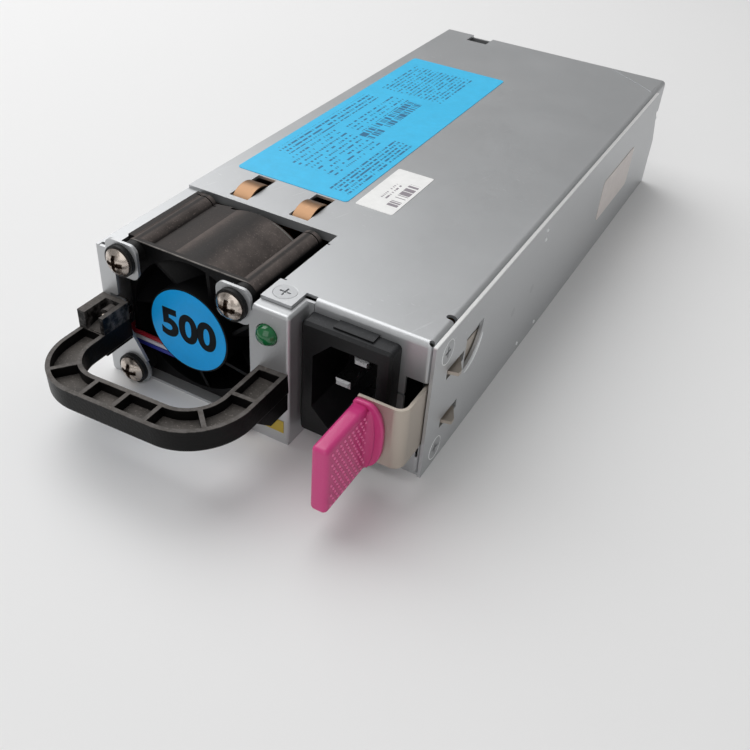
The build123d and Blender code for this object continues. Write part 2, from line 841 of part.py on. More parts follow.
def fan_frame():
    """The fan housing: flange, round tube, corner columns, fixed hub and vanes."""
    square = rounded_area(-fan_half, fan_half, -fan_half, fan_half, fan_column_radius)
    centre = Pos(fan_x, fan_z)
    body = front_plate(centre * square, fan_setback, fan_setback + fan_flange)
    body += front_plate(centre * fan_profile(), fan_setback + fan_flange, fan_rear - fan_column_proud)
    corners = fan_profile() - spot(0, 0, fan_half + fan_column_proud / 2)
    body += front_plate(centre * corners, fan_rear - fan_column_proud, fan_rear)
    body -= rod_y(fan_x, fan_z, bore_radius, fan_setback - 1, fan_rear + 1)
    groove_front = fan_rear - fan_collar_length
    for x, z in fan_holes:
        body -= rod_y(x, z, fan_screw_radius + fan_screw_clearance, fan_setback - 1, fan_screw_length)
        ring = spot(x, z, fan_column_radius + sheet) - spot(x, z, fan_column_radius - fan_collar_groove)
        body -= front_plate(ring, groove_front, groove_front + fan_collar_groove)
    hub = rod_y(fan_x, fan_z, hub_radius, hub_front, fan_setback + hub_depth - 1)
    hub -= rod_y(fan_x, fan_z, hub_radius - hub_wall, hub_front + hub_wall, fan_rear)
    tube_radius = bearing_radius + bearing_tube_wall
    tube = rod_y(fan_x, fan_z, tube_radius, hub_front, rotor_front + 10)
    tube -= rod_y(fan_x, fan_z, bearing_radius, hub_front + hub_wall, fan_rear)
    body += hub + tube
    for index in range(vane_count):
        angle = vane_first_angle + index * 360 / vane_count
        body += twisted_blade(
            hub_radius - 0.6, bore_radius + 0.5, angle, vane_lean, vane_twist,
            vane_thickness, fan_setback + 0.3, fan_setback + vane_depth,
        )
    return body


def fan_rotor():
    """The impeller: a cup that turns round the fixed motor, with twisted blades."""
    cup = rod_y(fan_x, fan_z, rotor_radius, rotor_front, rotor_front + rotor_depth)
    cup -= rod_y(fan_x, fan_z, rotor_radius - rotor_wall, rotor_front, rotor_front + rotor_depth - rotor_wall)
    boss = rod_y(fan_x, fan_z, 3.0, rotor_front + 11, rotor_front + rotor_depth - rotor_wall)
    cup += boss
    cup -= rod_y(fan_x, fan_z, shaft_radius, rotor_front, rotor_front + rotor_depth)
    for index in range(blade_count):
        cup += twisted_blade(
            rotor_radius - 0.5, bore_radius - blade_tip_gap, index * 360 / blade_count, -8, -blade_twist,
            blade_thickness, rotor_front + 0.6, rotor_front + 0.6 + blade_depth,
        )
    return cup


def fan_shaft():
    """The steel shaft that carries the rotor in the two bearings."""
    return rod_y(fan_x, fan_z, shaft_radius, hub_front + 1.8, rotor_front + rotor_depth)


def fan_bearings():
    """Two bearing rings in the tube of the fixed hub."""
    rings = []
    for start in (hub_front + 2.2, rotor_front + 10 - bearing_length):
        ring = rod_y(fan_x, fan_z, bearing_radius, start, start + bearing_length)
        ring -= rod_y(fan_x, fan_z, shaft_radius + shaft_clearance, start, start + bearing_length)
        rings.append(ring)
    return rings


def fan_magnet():
    """The magnet ring inside the rotor cup."""
    outside = rotor_radius - rotor_wall
    ring = rod_y(fan_x, fan_z, outside, rotor_front + 0.6, rotor_front + core_depth + 2.4)
    return ring - rod_y(fan_x, fan_z, outside - magnet_thickness, rotor_front, rotor_front + core_depth + 3)


def fan_motor_core():
    """The laminated core with its poles, on the bearing tube."""
    tube_radius = bearing_radius + bearing_tube_wall
    shape = spot(0, 0, tube_radius + 1.2)
    for index in range(pole_count):
        turn = index * 360 / pole_count
        shape += Rot(0, 0, turn) * area(0, core_radius - 0.5, -1.2, 1.2)
        rim = spot(0, 0, core_radius) - spot(0, 0, core_radius - 1.2)
        shape += rim & (Rot(0, 0, turn) * area(0, core_radius + 1, -4.2, 4.2))
    shape -= spot(0, 0, tube_radius)
    return front_plate(Pos(fan_x, fan_z) * shape, rotor_front + 1.2, rotor_front + 1.2 + core_depth)


def fan_motor_board():
    """The small ring-shaped circuit board behind the fixed hub."""
    shape = spot(fan_x, fan_z, hub_radius - hub_wall - 0.2) - spot(fan_x, fan_z, bearing_radius + bearing_tube_wall)
    return front_plate(shape, fan_setback + 3.4, fan_setback + 4.6)


def fan_screws():
    """Four domed cross-recess screws."""
    screws = []
    for x, z in fan_holes:
        base = -grommet_lip
        head = Pos(x, base, z) * Rot(90, 0, 0) * domed_head()
        shank = rod_y(x, z, fan_screw_radius, base, base + fan_screw_length)
        screws.append(head + shank)
    return screws


def domed_head():
    """A domed screw head with a cross recess, seated at z = 0, dome up."""
    radius = fan_screw_head_radius
    rise = fan_screw_head_height - fan_screw_rim
    ball = (radius ** 2 + rise ** 2) / (2 * rise)
    dome = Pos(0, 0, fan_screw_head_height - ball) * Sphere(ball)
    head = dome & rod_z(0, 0, radius, 0, fan_screw_head_height)
    recess = Pos(0, 0, fan_screw_head_height) * cross_recess(radius * 1.3, radius * 0.3, radius * 0.4)
    return head - recess


def fan_grommets():
    """Four rubber grommets: a lip in front of the panel, a neck in its hole and a foot behind."""
    grommets = []
    for x, z in fan_holes:
        piece = rod_y(x, z, grommet_radius, -grommet_lip, 0)
        piece += rod_y(x, z, grommet_neck_radius, 0, sheet)
        piece += rod_y(x, z, grommet_foot_radius, sheet, fan_setback)
        piece -= rod_y(x, z, fan_screw_radius, -grommet_lip, fan_setback)
        grommets.append(piece - block(x - case_height, x + case_height, -case_height, fan_rear, -case_height, 0))
    return grommets


def fan_wire(index):
    """One wire of the fan, as straight runs with round bends and an eight-sided section."""
    level = board_top + wire_board_gap + (wire_count - 1 - index) * wire_pitch
    hub_reach = math.sqrt(hub_radius ** 2 - (fan_z - level - wire_radius) ** 2)
    turn_y = plug_front + plug_length / 2 + (1 - index) * wire_pitch
    path = FilletPolyline(
        (fan_x - hub_reach - wire_gap, wire_y, level),
        (wire_lane_x, wire_y, level),
        (wire_lane_x, turn_y, level),
        (plug_left, turn_y, level),
        radius=wire_bend,
    )
    start = Plane(origin=path @ 0, z_dir=path % 0)
    return sweep(start * RegularPolygon(wire_radius, 8), path)


def fan_plug():
    """The plug of the fan wires, standing on the board, with a shallow recess in its top."""
    top = board_top + plug_height
    right = plug_left + plug_width
    rear = plug_front + plug_length
    body = block(plug_left, right, plug_front, rear, board_top, top)
    return body - block(plug_left + plug_wall, right - plug_wall, plug_front + plug_wall, rear - plug_wall,
                        top - plug_wall, top + plug_wall)


# Handle
def handle_path_area(inset):
    """The U-shaped plan of the loop, narrowed by inset on every side."""
    outer = area(handle_left + inset, handle_right - inset, -handle_reach + inset, handle_reach)
    outer = fillet(outer.vertices().group_by(Axis.Y)[0], handle_outer_radius - inset)
    hole = area(
        handle_left + handle_arm - inset, handle_right - handle_arm + inset,
        -handle_reach + handle_bar - inset, 2 * handle_reach,
    )
    hole = fillet(hole.vertices().group_by(Axis.Y)[0], handle_inner_radius + inset)
    return outer - hole


def handle_ribs():
    """The cross ribs in the recess of the loop."""
    floor = handle_top - handle_recess
    corner_x = handle_right - handle_outer_radius
    left_x = handle_left + handle_outer_radius
    corner_y = -handle_reach + handle_outer_radius
    ribs = []
    half = handle_rib / 2
    for index in range(handle_bar_ribs):
        x = left_x + handle_first_rib + index * handle_rib_pitch
        ribs.append(block(x - half, x + half, -handle_reach, -handle_reach + handle_bar, floor, handle_top))
    for x, turn in ((corner_x, handle_right_spoke), (left_x, handle_left_spoke)):
        spoke = block(-half, half, -handle_outer_radius, -handle_outer_radius / 3, floor, handle_top)
        ribs.append(Pos(x, corner_y, 0) * Rot(0, 0, turn) * spoke)
    ribs.append(block(handle_left, handle_left + handle_arm, handle_left_rib - half, handle_left_rib + half,
                      floor, handle_top))
    ribs.append(block(handle_right - handle_arm, handle_right, handle_right_rib - half, handle_right_rib + half,
                      floor, handle_top))
    ribs.append(block(handle_right - handle_arm, handle_right, -handle_end_rim, handle_end_rim, floor, handle_top))
    return ribs


def handle_loop():
    """The level loop: a U-shaped bar with a ribbed recess in its top."""
    solid = flat_plate(handle_path_area(0), handle_top - handle_height, handle_top)
    recess = flat_plate(handle_path_area(handle_rim), handle_top - handle_recess, handle_top + 1)
    loop = solid - recess
    body = flat_plate(handle_path_area(0.4), handle_top - handle_recess - 0.2, handle_top)
    for rib in handle_ribs():
        loop += rib & body
    loop = fillet(loop.edges().group_by(Axis.Z)[0], handle_edge_round)
    return loop


def right_foot():
    """The right foot, a block under the recess of the right arm that slopes back below."""
    high = right_foot_top - handle_recess
    low = right_foot_top - right_foot_height
    under_arm = right_foot_top - handle_height
    shape = outline((0, low), (0, high), (-right_foot_depth, high), (-right_foot_depth - handle_recess, under_arm),
                    (-right_foot_depth + handle_recess, low))
    return side_plate(shape, handle_right - handle_arm, handle_right)


def left_foot():
    """The left foot, a pocket with two cheeks, a sloping floor and a screw boss."""
    left_x1 = handle_left + handle_arm
    front = -left_foot_depth
    floor = left_foot_low + left_foot_floor
    foot = block(handle_left, left_x1, front, 0, left_foot_low, left_foot_top)
    pocket = outline((-left_foot_back, left_foot_top + 1), (front - 1, left_foot_top + 1), (front - 1, floor),
                     (-left_foot_back, floor + left_foot_back))
    foot -= side_plate(pocket, handle_left + left_foot_cheek, left_x1 - left_foot_inner_cheek)
    boss_x, boss_z = handle_screw_places()[0]
    return foot + rod_y(boss_x, boss_z, handle_boss_radius, -handle_boss_reach, 0)


def handle():
    """The carrying handle: the tilted loop and its two feet, cut flush with the panel."""
    pivot = Pos(handle_x, 0, handle_top)
    loop = pivot * Rot(0, -handle_tilt, 0) * Pos(-handle_x, 0, -handle_top) * handle_loop()
    loop -= block(-case_width, case_width, 0, case_width, -case_height, 2 * case_height)
    loop -= block(-case_width, handle_left, -case_width, case_width, -case_height, 2 * case_height)
    piece = loop + right_foot() + left_foot()
    for x, z in handle_screw_places():
        piece -= rod_y(x, z, handle_screw_radius, -handle_screw_reach, 0)
    return piece


def handle_screw_places():
    """Where the two handle screws pass through the panel, as x and z."""
    return [
        (handle_left + left_foot_cheek + handle_boss_radius, left_foot_low + handle_boss_height),
        (handle_right - handle_arm / 2, right_foot_top - (right_foot_height + handle_recess) / 2),
    ]


def handle_screws():
    """Two screws from behind the panel into the feet of the handle."""
    screws = []
    for x, z in handle_screw_places():
        head = rod_y(x, z, handle_screw_head_radius, sheet, sheet + handle_screw_head_height)
        screws.append(head + rod_y(x, z, handle_screw_radius, -handle_screw_reach, sheet))
    return screws


# Status lamp
def status_lamp():
    """The green lamp: a domed lens through the panel and a flange behind it."""
    dome_ball = Pos(lamp_x, -lamp_reach + lamp_radius, lamp_z) * Sphere(lamp_radius)
    barrel = rod_y(lamp_x, lamp_z, lamp_radius, -lamp_reach + lamp_radius, sheet)
    flange = rod_y(lamp_x, lamp_z, lamp_flange, sheet, sheet + 1.2)
    stem = rod_y(lamp_x, lamp_z, lamp_radius, sheet, sheet + 5.0)
    return dome_ball + barrel + flange + stem


# Mains inlet
def socket_area(clearance):
    """The opening of the socket: a rectangle with two cut corners on the earth side."""
    half_x = socket_width / 2 + clearance
    half_z = socket_height / 2 + clearance
    cut = socket_chamfer
    return Pos(inlet_x, inlet_z) * outline(
        (-half_x, -half_z + cut), (-half_x + cut, -half_z), (half_x, -half_z),
        (half_x, half_z), (-half_x + cut, half_z), (-half_x, half_z - cut),
    )


def pin_places():
    """Centre x, centre z and front y of the three pins, the earth pin first."""
    tip = inlet_front + pin_recess
    return [
        (inlet_x - pin_offset, inlet_z, tip - earth_lead),
        (inlet_x + pin_offset, inlet_z - pin_spacing / 2, tip),
        (inlet_x + pin_offset, inlet_z + pin_spacing / 2, tip),
    ]


def inlet_body():
    """The moulded inlet: bezel, body and socket."""
    half_x = inlet_bezel_width / 2
    half_z = inlet_bezel_height / 2
    face = rounded_area(inlet_x - half_x, inlet_x + half_x, inlet_z - half_z, inlet_z + half_z, 1.2)
    bezel = front_plate(face, inlet_front, inlet_setback)
    bezel = chamfer(bezel.edges().group_by(Axis.Y)[0], 0.7)
    body_x = inlet_body_width / 2
    body_z = inlet_body_height / 2
    body = block(inlet_x - body_x, inlet_x + body_x, inlet_setback, inlet_setback + inlet_body_depth,
                 inlet_z - body_z, inlet_z + body_z)
    clip_top = block(inlet_x - 4, inlet_x + 6, inlet_front + 1.4, inlet_setback,
                     inlet_z + half_z, inlet_z + half_z + 0.5)
    piece = bezel + body + clip_top
    piece -= front_plate(socket_area(0), inlet_front - 1, inlet_front + socket_depth)
    rear = inlet_setback + inlet_body_depth
    for x, z, tip in pin_places():
        piece -= block(x - pin_width / 2, x + pin_width / 2, tip, rear + 1,
                       z - pin_thickness / 2, z + pin_thickness / 2)
    return piece


def inlet_pins():
    """The three contact blades, with bevelled tips and solder tails."""
    pins = []
    rear = inlet_setback + inlet_body_depth + pin_tail
    for x, z, tip in pin_places():
        pin = block(x - pin_width / 2, x + pin_width / 2, tip, rear,
                    z - pin_thickness / 2, z + pin_thickness / 2)
        pins.append(chamfer(pin.edges().group_by(Axis.Y)[0], 0.5))
    return pins


# Release latch
def tooth(level):
    """One catch tooth: steep in front, sloping behind, lying flat."""
    x0 = latch_inner
    reach = half_width + tooth_reach
    plan = outline(
        (x0, tooth_front), (latch_outer + 0.3, tooth_front),
        (reach, tooth_front + 0.8), (reach, tooth_front + 2.2),
        (half_width + 0.2, tooth_front + tooth_length), (x0, tooth_front + tooth_length),
    )
    return flat_plate(plan, level, level + tooth_thickness)


def latch_spring():
    """The sprung strip of the latch, bent round at its front, with two teeth."""
    plan = area(latch_inner, latch_outer, latch_front, latch_hinge - latch_end_gap)
    plan += area(latch_leg_end, latch_outer, latch_front, latch_front + latch_thickness)
    plan = round_corner(plan, latch_inner, latch_front + latch_thickness, latch_bend - latch_thickness)
    plan = round_corner(plan, latch_outer, latch_front, latch_bend)
    strip = flat_plate(plan, latch_low, latch_high)
    return strip + tooth(tooth_upper) + tooth(tooth_lower)


def latch_root():
    """The fixed tail of the latch strip, against the inside of the wall."""
    tail = block(inner - latch_thickness, inner, latch_hinge + latch_end_gap, latch_tail, latch_low, latch_high)
    for y in latch_rivet_y:
        tail -= side_plate(spot(y, latch_rivet_z, rivet_radius), inner - 2, inner + 1)
    return tail


def latch_rivets():
    """Two rivets that hold the tail of the latch to the wall."""
    rivets = []
    for y in latch_rivet_y:
        shank = side_plate(spot(y, latch_rivet_z, rivet_radius), inner - latch_thickness, half_width)
        head = side_plate(spot(y, latch_rivet_z, rivet_radius + rivet_head_rim),
                          inner - latch_thickness - rivet_head_height, inner - latch_thickness)
        rivets.append(shank + head)
    return rivets


def latch_grip():
    """The moulded grip: a blade to push, a flange across the strip and a clamp on its end."""
    right = grip_left + grip_thickness
    blade = block(grip_left, right, grip_tip, latch_front - 0.4, grip_low, grip_high)
    blade = fillet(blade.edges().group_by(Axis.Y)[0] + blade.edges().filter_by(Axis.Y), grip_round)
    flange_left = grip_left - grip_flange_lap
    face = rounded_area(flange_left, flange_left + grip_flange_width, grip_low - grip_flange_lap / 2,
                        grip_high + grip_flange_lap, grip_flange_round)
    flange = front_plate(face, latch_front - grip_flange_thickness, latch_front)
    web_plan = outline((right - 0.5, latch_front - 0.5), (right - 0.5, latch_front - 3.6),
                       (right + 0.4, latch_front - 1.9), (right + 2.2, latch_front - 0.9),
                       (right + 2.2, latch_front - 0.5))
    web = flat_plate(web_plan, grip_low + 1.2, grip_high - 1.2)
    back = front_plate(
        rounded_area(flange_left, right + grip_round, latch_low + wall_clearance, grip_high - grip_round,
                     grip_flange_lap),
        latch_front, latch_front + latch_thickness + grip_flange_thickness,
    )
    slot = block(latch_leg_end, right + 10, latch_front, latch_front + latch_thickness, 0, case_height)
    return blade + flange + web + (back - slot)


# Grounding fingers
def ground_finger(x):
    """One bowed contact finger, rooted under the front end of its slot."""
    base = cover_under - finger_drop
    rear = finger_rear + 3 * finger_thickness
    crown_y = finger_front + finger_length / 2
    crown_z = case_height + finger_rise
    top = ThreePointArc((finger_front, base), (crown_y, crown_z), (rear, base - finger_thickness))
    inner_arc = ThreePointArc(
        (finger_front + finger_thickness / 2, base - finger_thickness),
        (crown_y, crown_z - finger_thickness),
        (rear, base - 2 * finger_thickness),
    )
    ends = [Line(top @ 0, inner_arc @ 0), Line(top @ 1, inner_arc @ 1)]
    shape = make_face(Curve() + [top, inner_arc] + ends)
    shape += area(finger_front - finger_root, finger_front + finger_thickness, base - finger_thickness, base)
    return side_plate(shape, x - finger_width / 2, x + finger_width / 2)


# Labels
def rating_label():
    """The large coloured label on the cover."""
    shape = rounded_area(rating_label_left, rating_label_left + rating_label_width,
                         rating_label_front, rating_label_rear, 1.2)
    return flat_plate(shape, case_height, case_height + label_thickness)


def serial_label():
    """The small white label beside it."""
    shape = rounded_area(serial_label_left, serial_label_left + serial_label_width,
                         serial_label_front, serial_label_front + serial_label_length, 0.6)
    return flat_plate(shape, case_height, case_height + label_thickness)


def side_label():
    """The blank label on the right wall."""
    shape = rounded_area(side_label_front, side_label_front + side_label_length,
                         side_label_low, side_label_low + side_label_height, 1.5)
    return side_plate(shape, half_width, half_width + label_thickness)


def hub_label():
    """The round label on the fixed hub of the fan."""
    return rod_y(fan_x, fan_z, hub_radius - hub_label_margin, hub_front - label_thickness, hub_front)


def caution_patch():
    """The small yellow patch under the handle foot."""
    half = caution_width / 2
    shape = area(caution_x - half, caution_x + half, caution_z - caution_height / 2, caution_z + caution_height / 2)
    return front_plate(shape, -label_thickness, 0)


# Circuit board
def board_area():
    """The plan of the main board, with the contact tongue at its rear."""
    shape = area(board_left, board_right, board_front, board_rear)
    tongue_rear = case_length + contact_tongue_reach
    return shape + area(contact_tongue_left, contact_tongue_right, board_rear - 1, tongue_rear)


def main_board():
    """The main circuit board."""
    return flat_plate(board_area(), board_z, board_top)


def standoff_places():
    """Where the board is held, as x and y."""
    columns = (board_left + standoff_inset, board_right - standoff_inset)
    rows = (board_front + standoff_inset, board_rear - standoff_rear_inset)
    return [(x, y) for x in columns for y in rows]


def board_standoffs():
    """Posts between the floor and the board."""
    return [rod_z(x, y, standoff_radius, sheet, board_z) for x, y in standoff_places()]


def edge_contacts():
    """The gold contact strips on both faces of the tongue."""
    strips = []
    front = case_length + contact_margin
    rear = case_length + contact_tongue_reach - contact_margin
    first = contact_tongue_left + (contact_tongue_width - (contact_count - 1) * contact_pitch - contact_width) / 2
    for index in range(contact_count):
        x = first + index * contact_pitch
        for z0 in (board_top, board_z - contact_thickness):
            strips.append(block(x, x + contact_width, front, rear, z0, z0 + contact_thickness))
    return strips


# Parts on the board
def ring_core(ring_radius, section_radius):
    """A wound ring core round the z axis: a flat-sided round section turned about the axis."""
    turn = 180 / choke_sides
    section = RegularPolygon(section_radius, choke_sides, major_radius=False, rotation=turn)
    return revolve(Plane.XZ * Pos(ring_radius, 0) * section, Axis.Z)


def input_choke():
    """The small ring core that lies flat beside the latch."""
    x = board_right - choke_side_gap - input_reach
    return Pos(x, choke_row_y, board_top + choke_input_section) * ring_core(choke_input_ring, choke_input_section)


def boost_choke():
    """The large ring core that lies flat behind the fan."""
    x = board_left + choke_side_gap + boost_reach
    return Pos(x, choke_row_y, board_top + choke_boost_section) * ring_core(choke_boost_ring, choke_boost_section)


def output_choke():
    """The ring core that stands on its edge near the contacts."""
    upright = Rot(90, 0, 0) * ring_core(choke_output_ring, choke_output_section)
    return Pos(choke_output_x, output_row_y, board_top + output_reach) * upright


def bulk_capacitors():
    """Large upright storage capacitors, with a groove near the foot."""
    cans = []
    groove_low = board_top + can_groove_low
    for index in range(can_count):
        x = board_left + can_side_gap + can_radius + index * (2 * can_radius + can_gap)
        can = rod_z(x, can_y, can_radius, board_top, board_top + can_height)
        can = chamfer(can.edges().group_by(Axis.Z)[-1], can_edge)
        ring = spot(x, can_y, can_radius + can_edge) - spot(x, can_y, can_radius - can_groove_depth)
        cans.append(can - flat_plate(ring, groove_low, groove_low + can_groove_width))
    return cans


def output_capacitors():
    """A row of small upright capacitors near the contacts."""
    return [
        rod_z(small_can_left + index * small_can_pitch, output_row_y, small_can_radius,
              board_top, board_top + small_can_height)
        for index in range(small_can_count)
    ]


def heat_sink(left, y, direction):
    """A finned plate standing on the board, fins pointing along direction in y."""
    plate = block(left, sink_right, y, y + sink_thickness, board_top, board_top + sink_height)
    pitch = (sink_right - left - fin_thickness) / (fin_count - 1)
    y0 = y if direction > 0 else y - fin_reach
    y1 = y0 + fin_reach + sink_thickness
    for index in range(fin_count):
        x = left + index * pitch
        plate += block(x, x + fin_thickness, y0, y1, board_top + fin_lift, board_top + sink_height)
    return plate


def transistors(sink_left, y0, count):
    """Flat power packages from y0 backwards, spread along a heat sink, with legs down to the board."""
    packages = []
    body_low = board_top + package_lift
    leg_front = y0 + (package_depth - package_leg_depth) / 2
    pitch = (sink_right - sink_left - 2 * package_inset) / (count - 1)
    for index in range(count):
        x = sink_left + package_inset + index * pitch
        body = block(x - package_width / 2, x + package_width / 2, y0, y0 + package_depth,
                     body_low, body_low + package_height)
        for side in (-1, 0, 1):
            leg_x = x + side * package_leg_pitch
            body += block(leg_x - package_leg_width / 2, leg_x + package_leg_width / 2,
                          leg_front, leg_front + package_leg_depth, board_top, body_low)
        packages.append(body)
    return packages


def transformer_core():
    """The ferrite core of the transformer: a frame with a window through it."""
    rear = core_front + core_length
    low = board_top + core_lift
    frame = area(-core_half_width, core_half_width, low, low + core_height)
    window_half = core_half_width - core_leg
    frame -= area(-window_half, window_half, low + core_bar, low + core_height - core_bar)
    return Pos(board_middle, 0, 0) * front_plate(frame, core_front, rear)


def transformer_winding():
    """The taped winding in the window of the core, with a foot at each end."""
    half = core_half_width - core_leg
    low = board_top + core_lift + core_bar
    high = board_top + core_lift + core_height - core_bar
    front = core_front - winding_overhang
    rear = core_front + core_length + winding_overhang
    winding = block(-half, half, front, rear, low, high)
    winding = fillet(winding.edges().filter_by(Axis.Z), winding_round)
    foot_half = half - winding_foot_inset
    winding += block(-foot_half, foot_half, front + core_lift, core_front - seam_gap, board_top, low)
    winding += block(-foot_half, foot_half, rear - winding_overhang + seam_gap, rear - core_lift, board_top, low)
    return Pos(board_middle, 0, 0) * winding


os.makedirs("parts", exist_ok=True)

save("base_tray", base_tray())
save("top_cover", top_cover())
save("front_panel", front_panel())
save("rear_panel", rear_panel())
save("case_screws", at_flap() * flush_screw(), at_wall(wall_screw_y, wall_screw_high) * flush_screw(),
     at_wall(wall_screw_y, wall_screw_low) * flush_screw())
save("fan_frame", fan_frame())
save("fan_rotor", fan_rotor())
save("fan_shaft", fan_shaft())
save("fan_bearings", *fan_bearings())
save("fan_magnet", fan_magnet())
save("fan_motor_core", fan_motor_core())
save("fan_motor_board", fan_motor_board())
save("fan_screws", *fan_screws())
save("fan_grommets", *fan_grommets())
for number, colour in enumerate(("red", "white", "blue")):
    save(f"fan_wire_{colour}", fan_wire(number))
save("fan_plug", fan_plug())
save("handle", handle())
save("handle_screws", *handle_screws())
save("status_lamp", status_lamp())
save("inlet_body", inlet_body())
save("inlet_pins", *inlet_pins())
save("latch_spring", latch_spring())
save("latch_root", latch_root())
save("latch_rivets", *latch_rivets())
save("latch_grip", latch_grip())
save("ground_finger_left", ground_finger(finger_left_x))
save("ground_finger_right", ground_finger(finger_right_x))
save("rating_label", rating_label())
save("serial_label", serial_label())
save("side_label", side_label())
save("hub_label", hub_label())
save("caution_patch", caution_patch())
save("main_board", main_board())
save("board_standoffs", *board_standoffs())
save("edge_contacts", *edge_contacts())
save("bulk_capacitors", *bulk_capacitors())
save("output_capacitors", *output_capacitors())
save("choke_input", input_choke())
save("choke_boost", boost_choke())
save("choke_output", output_choke())
primary_left = board_left + primary_sink_gap
output_left = board_left + output_sink_gap
save("primary_heat_sink", heat_sink(primary_left, primary_sink_y, 1))
save("primary_transistors", *transistors(primary_left, primary_sink_y - package_depth, primary_package_count))
save("output_heat_sink", heat_sink(output_left, output_sink_y, -1))
save("output_transistors", *transistors(output_left, output_sink_y + sink_thickness, output_package_count))
save("transformer_core", transformer_core())
save("transformer_winding", transformer_winding())
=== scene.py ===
import json
import math

import bpy
import numpy as np
from mathutils import Matrix, Vector


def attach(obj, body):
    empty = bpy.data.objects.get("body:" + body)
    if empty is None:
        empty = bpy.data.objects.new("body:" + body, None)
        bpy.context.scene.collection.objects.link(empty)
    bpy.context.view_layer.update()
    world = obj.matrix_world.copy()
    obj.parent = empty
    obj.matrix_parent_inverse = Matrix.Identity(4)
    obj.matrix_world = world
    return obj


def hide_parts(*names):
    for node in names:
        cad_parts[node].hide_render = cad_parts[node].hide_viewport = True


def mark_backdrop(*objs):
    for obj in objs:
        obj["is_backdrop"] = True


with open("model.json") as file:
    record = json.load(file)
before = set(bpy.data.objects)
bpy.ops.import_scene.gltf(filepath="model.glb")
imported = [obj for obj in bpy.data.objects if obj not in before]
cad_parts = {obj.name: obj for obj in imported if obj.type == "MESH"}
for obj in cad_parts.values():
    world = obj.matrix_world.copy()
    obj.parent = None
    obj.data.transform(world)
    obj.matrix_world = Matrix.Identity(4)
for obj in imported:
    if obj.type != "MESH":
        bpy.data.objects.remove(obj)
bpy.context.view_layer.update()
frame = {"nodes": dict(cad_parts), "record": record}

NODES = frame["nodes"]

# Sizes in metres that the scene shares with the solids
MM = 0.001
FRONT = -97.75 * MM
CASE_TOP = 38.4 * MM
WALL_FACE = 43.2 * MM
FAN_X = -19.6 * MM
FAN_Z = 19.8 * MM
HANDLE_TOP = 20.3 * MM
HANDLE_TILT = 0.0559
FLANGE_FRONT = FRONT + 5.0 * MM
FLANGE_TOP = 38.8 * MM
SCREW_OFFSET = 16.0 * MM


# Node trees
def feed(tree, node, inputs):
    """Give a node's sockets their values, or link the outputs that are given for them."""
    for socket, value in inputs:
        if isinstance(value, bpy.types.NodeSocket):
            tree.links.new(value, node.inputs[socket])
        else:
            node.inputs[socket].default_value = value
    return node


def add_node(tree, kind, inputs=(), **settings):
    """Add a node; inputs are (socket, value or output) pairs, settings are its own fields."""
    node = tree.nodes.new(kind)
    for field, value in settings.items():
        setattr(node, field, value)
    return feed(tree, node, inputs)


def use_group(tree, group, inputs):
    """Place a shader group in a material."""
    node = tree.nodes.new("ShaderNodeGroup")
    node.node_tree = group
    return feed(tree, node, inputs)


def math_node(tree, operation, *values):
    """One arithmetic step on numbers or outputs."""
    return add_node(tree, "ShaderNodeMath", list(enumerate(values)), operation=operation).outputs[0]


def times(tree, first, second):
    """The product of two numbers or outputs."""
    return math_node(tree, "MULTIPLY", first, second)


def plus(tree, first, second):
    """The sum of two numbers or outputs."""
    return math_node(tree, "ADD", first, second)


def minus(tree, first, second):
    """The first number or output less the second."""
    return math_node(tree, "SUBTRACT", first, second)


def swing_about_half(tree, noise, amount):
    """A noise from 0 to 1 turned into a change of half the amount either way."""
    return times(tree, minus(tree, noise, 0.5), amount)


def separate(tree, vector):
    """The three parts of a vector."""
    return add_node(tree, "ShaderNodeSeparateXYZ", [(0, vector)]).outputs


def grey(tree, level):
    """A grey of one level in its three channels."""
    return add_node(tree, "ShaderNodeCombineColor", [(0, level), (1, level), (2, level)]).outputs[0]


def mix_colour(tree, factor, first, second, blend="MIX"):
    """Blend two colours by a factor; 6, 7 and 2 are the Mix node's colour sockets."""
    inputs = [(0, factor), (6, first), (7, second)]
    return add_node(tree, "ShaderNodeMix", inputs, data_type="RGBA", blend_type=blend).outputs[2]


def ramp(tree, value, low, high, to_low=0.0, to_high=1.0):
    """Map a value from one range to another, clamped at both ends."""
    inputs = [("Value", value), ("From Min", low), ("From Max", high),
              ("To Min", to_low), ("To Max", to_high)]
    return add_node(tree, "ShaderNodeMapRange", inputs, clamp=True).outputs["Result"]


def noise_at(tree, place, scale, detail=2.0, rough=0.5):
    """Soft noise from 0 to 1 at a place."""
    inputs = [("Vector", place), ("Scale", scale), ("Detail", detail), ("Roughness", rough)]
    return add_node(tree, "ShaderNodeTexNoise", inputs).outputs[0]


def stretched(tree, place, x, y, z):
    """A place with each axis scaled on its own."""
    return add_node(tree, "ShaderNodeMapping", [("Vector", place), ("Scale", (x, y, z))]).outputs[0]


def shader_group(name, inputs, outputs):
    """An empty shader group with named inputs and outputs: its tree, its input node and its output node."""
    tree = bpy.data.node_groups.new(name, "ShaderNodeTree")
    for label, kind, value in inputs:
        socket = tree.interface.new_socket(name=label, in_out="INPUT", socket_type="NodeSocket" + kind)
        if value is not None:
            socket.default_value = value
    for label, kind in outputs:
        tree.interface.new_socket(name=label, in_out="OUTPUT", socket_type="NodeSocket" + kind)
    return tree, tree.nodes.new("NodeGroupInput"), tree.nodes.new("NodeGroupOutput")


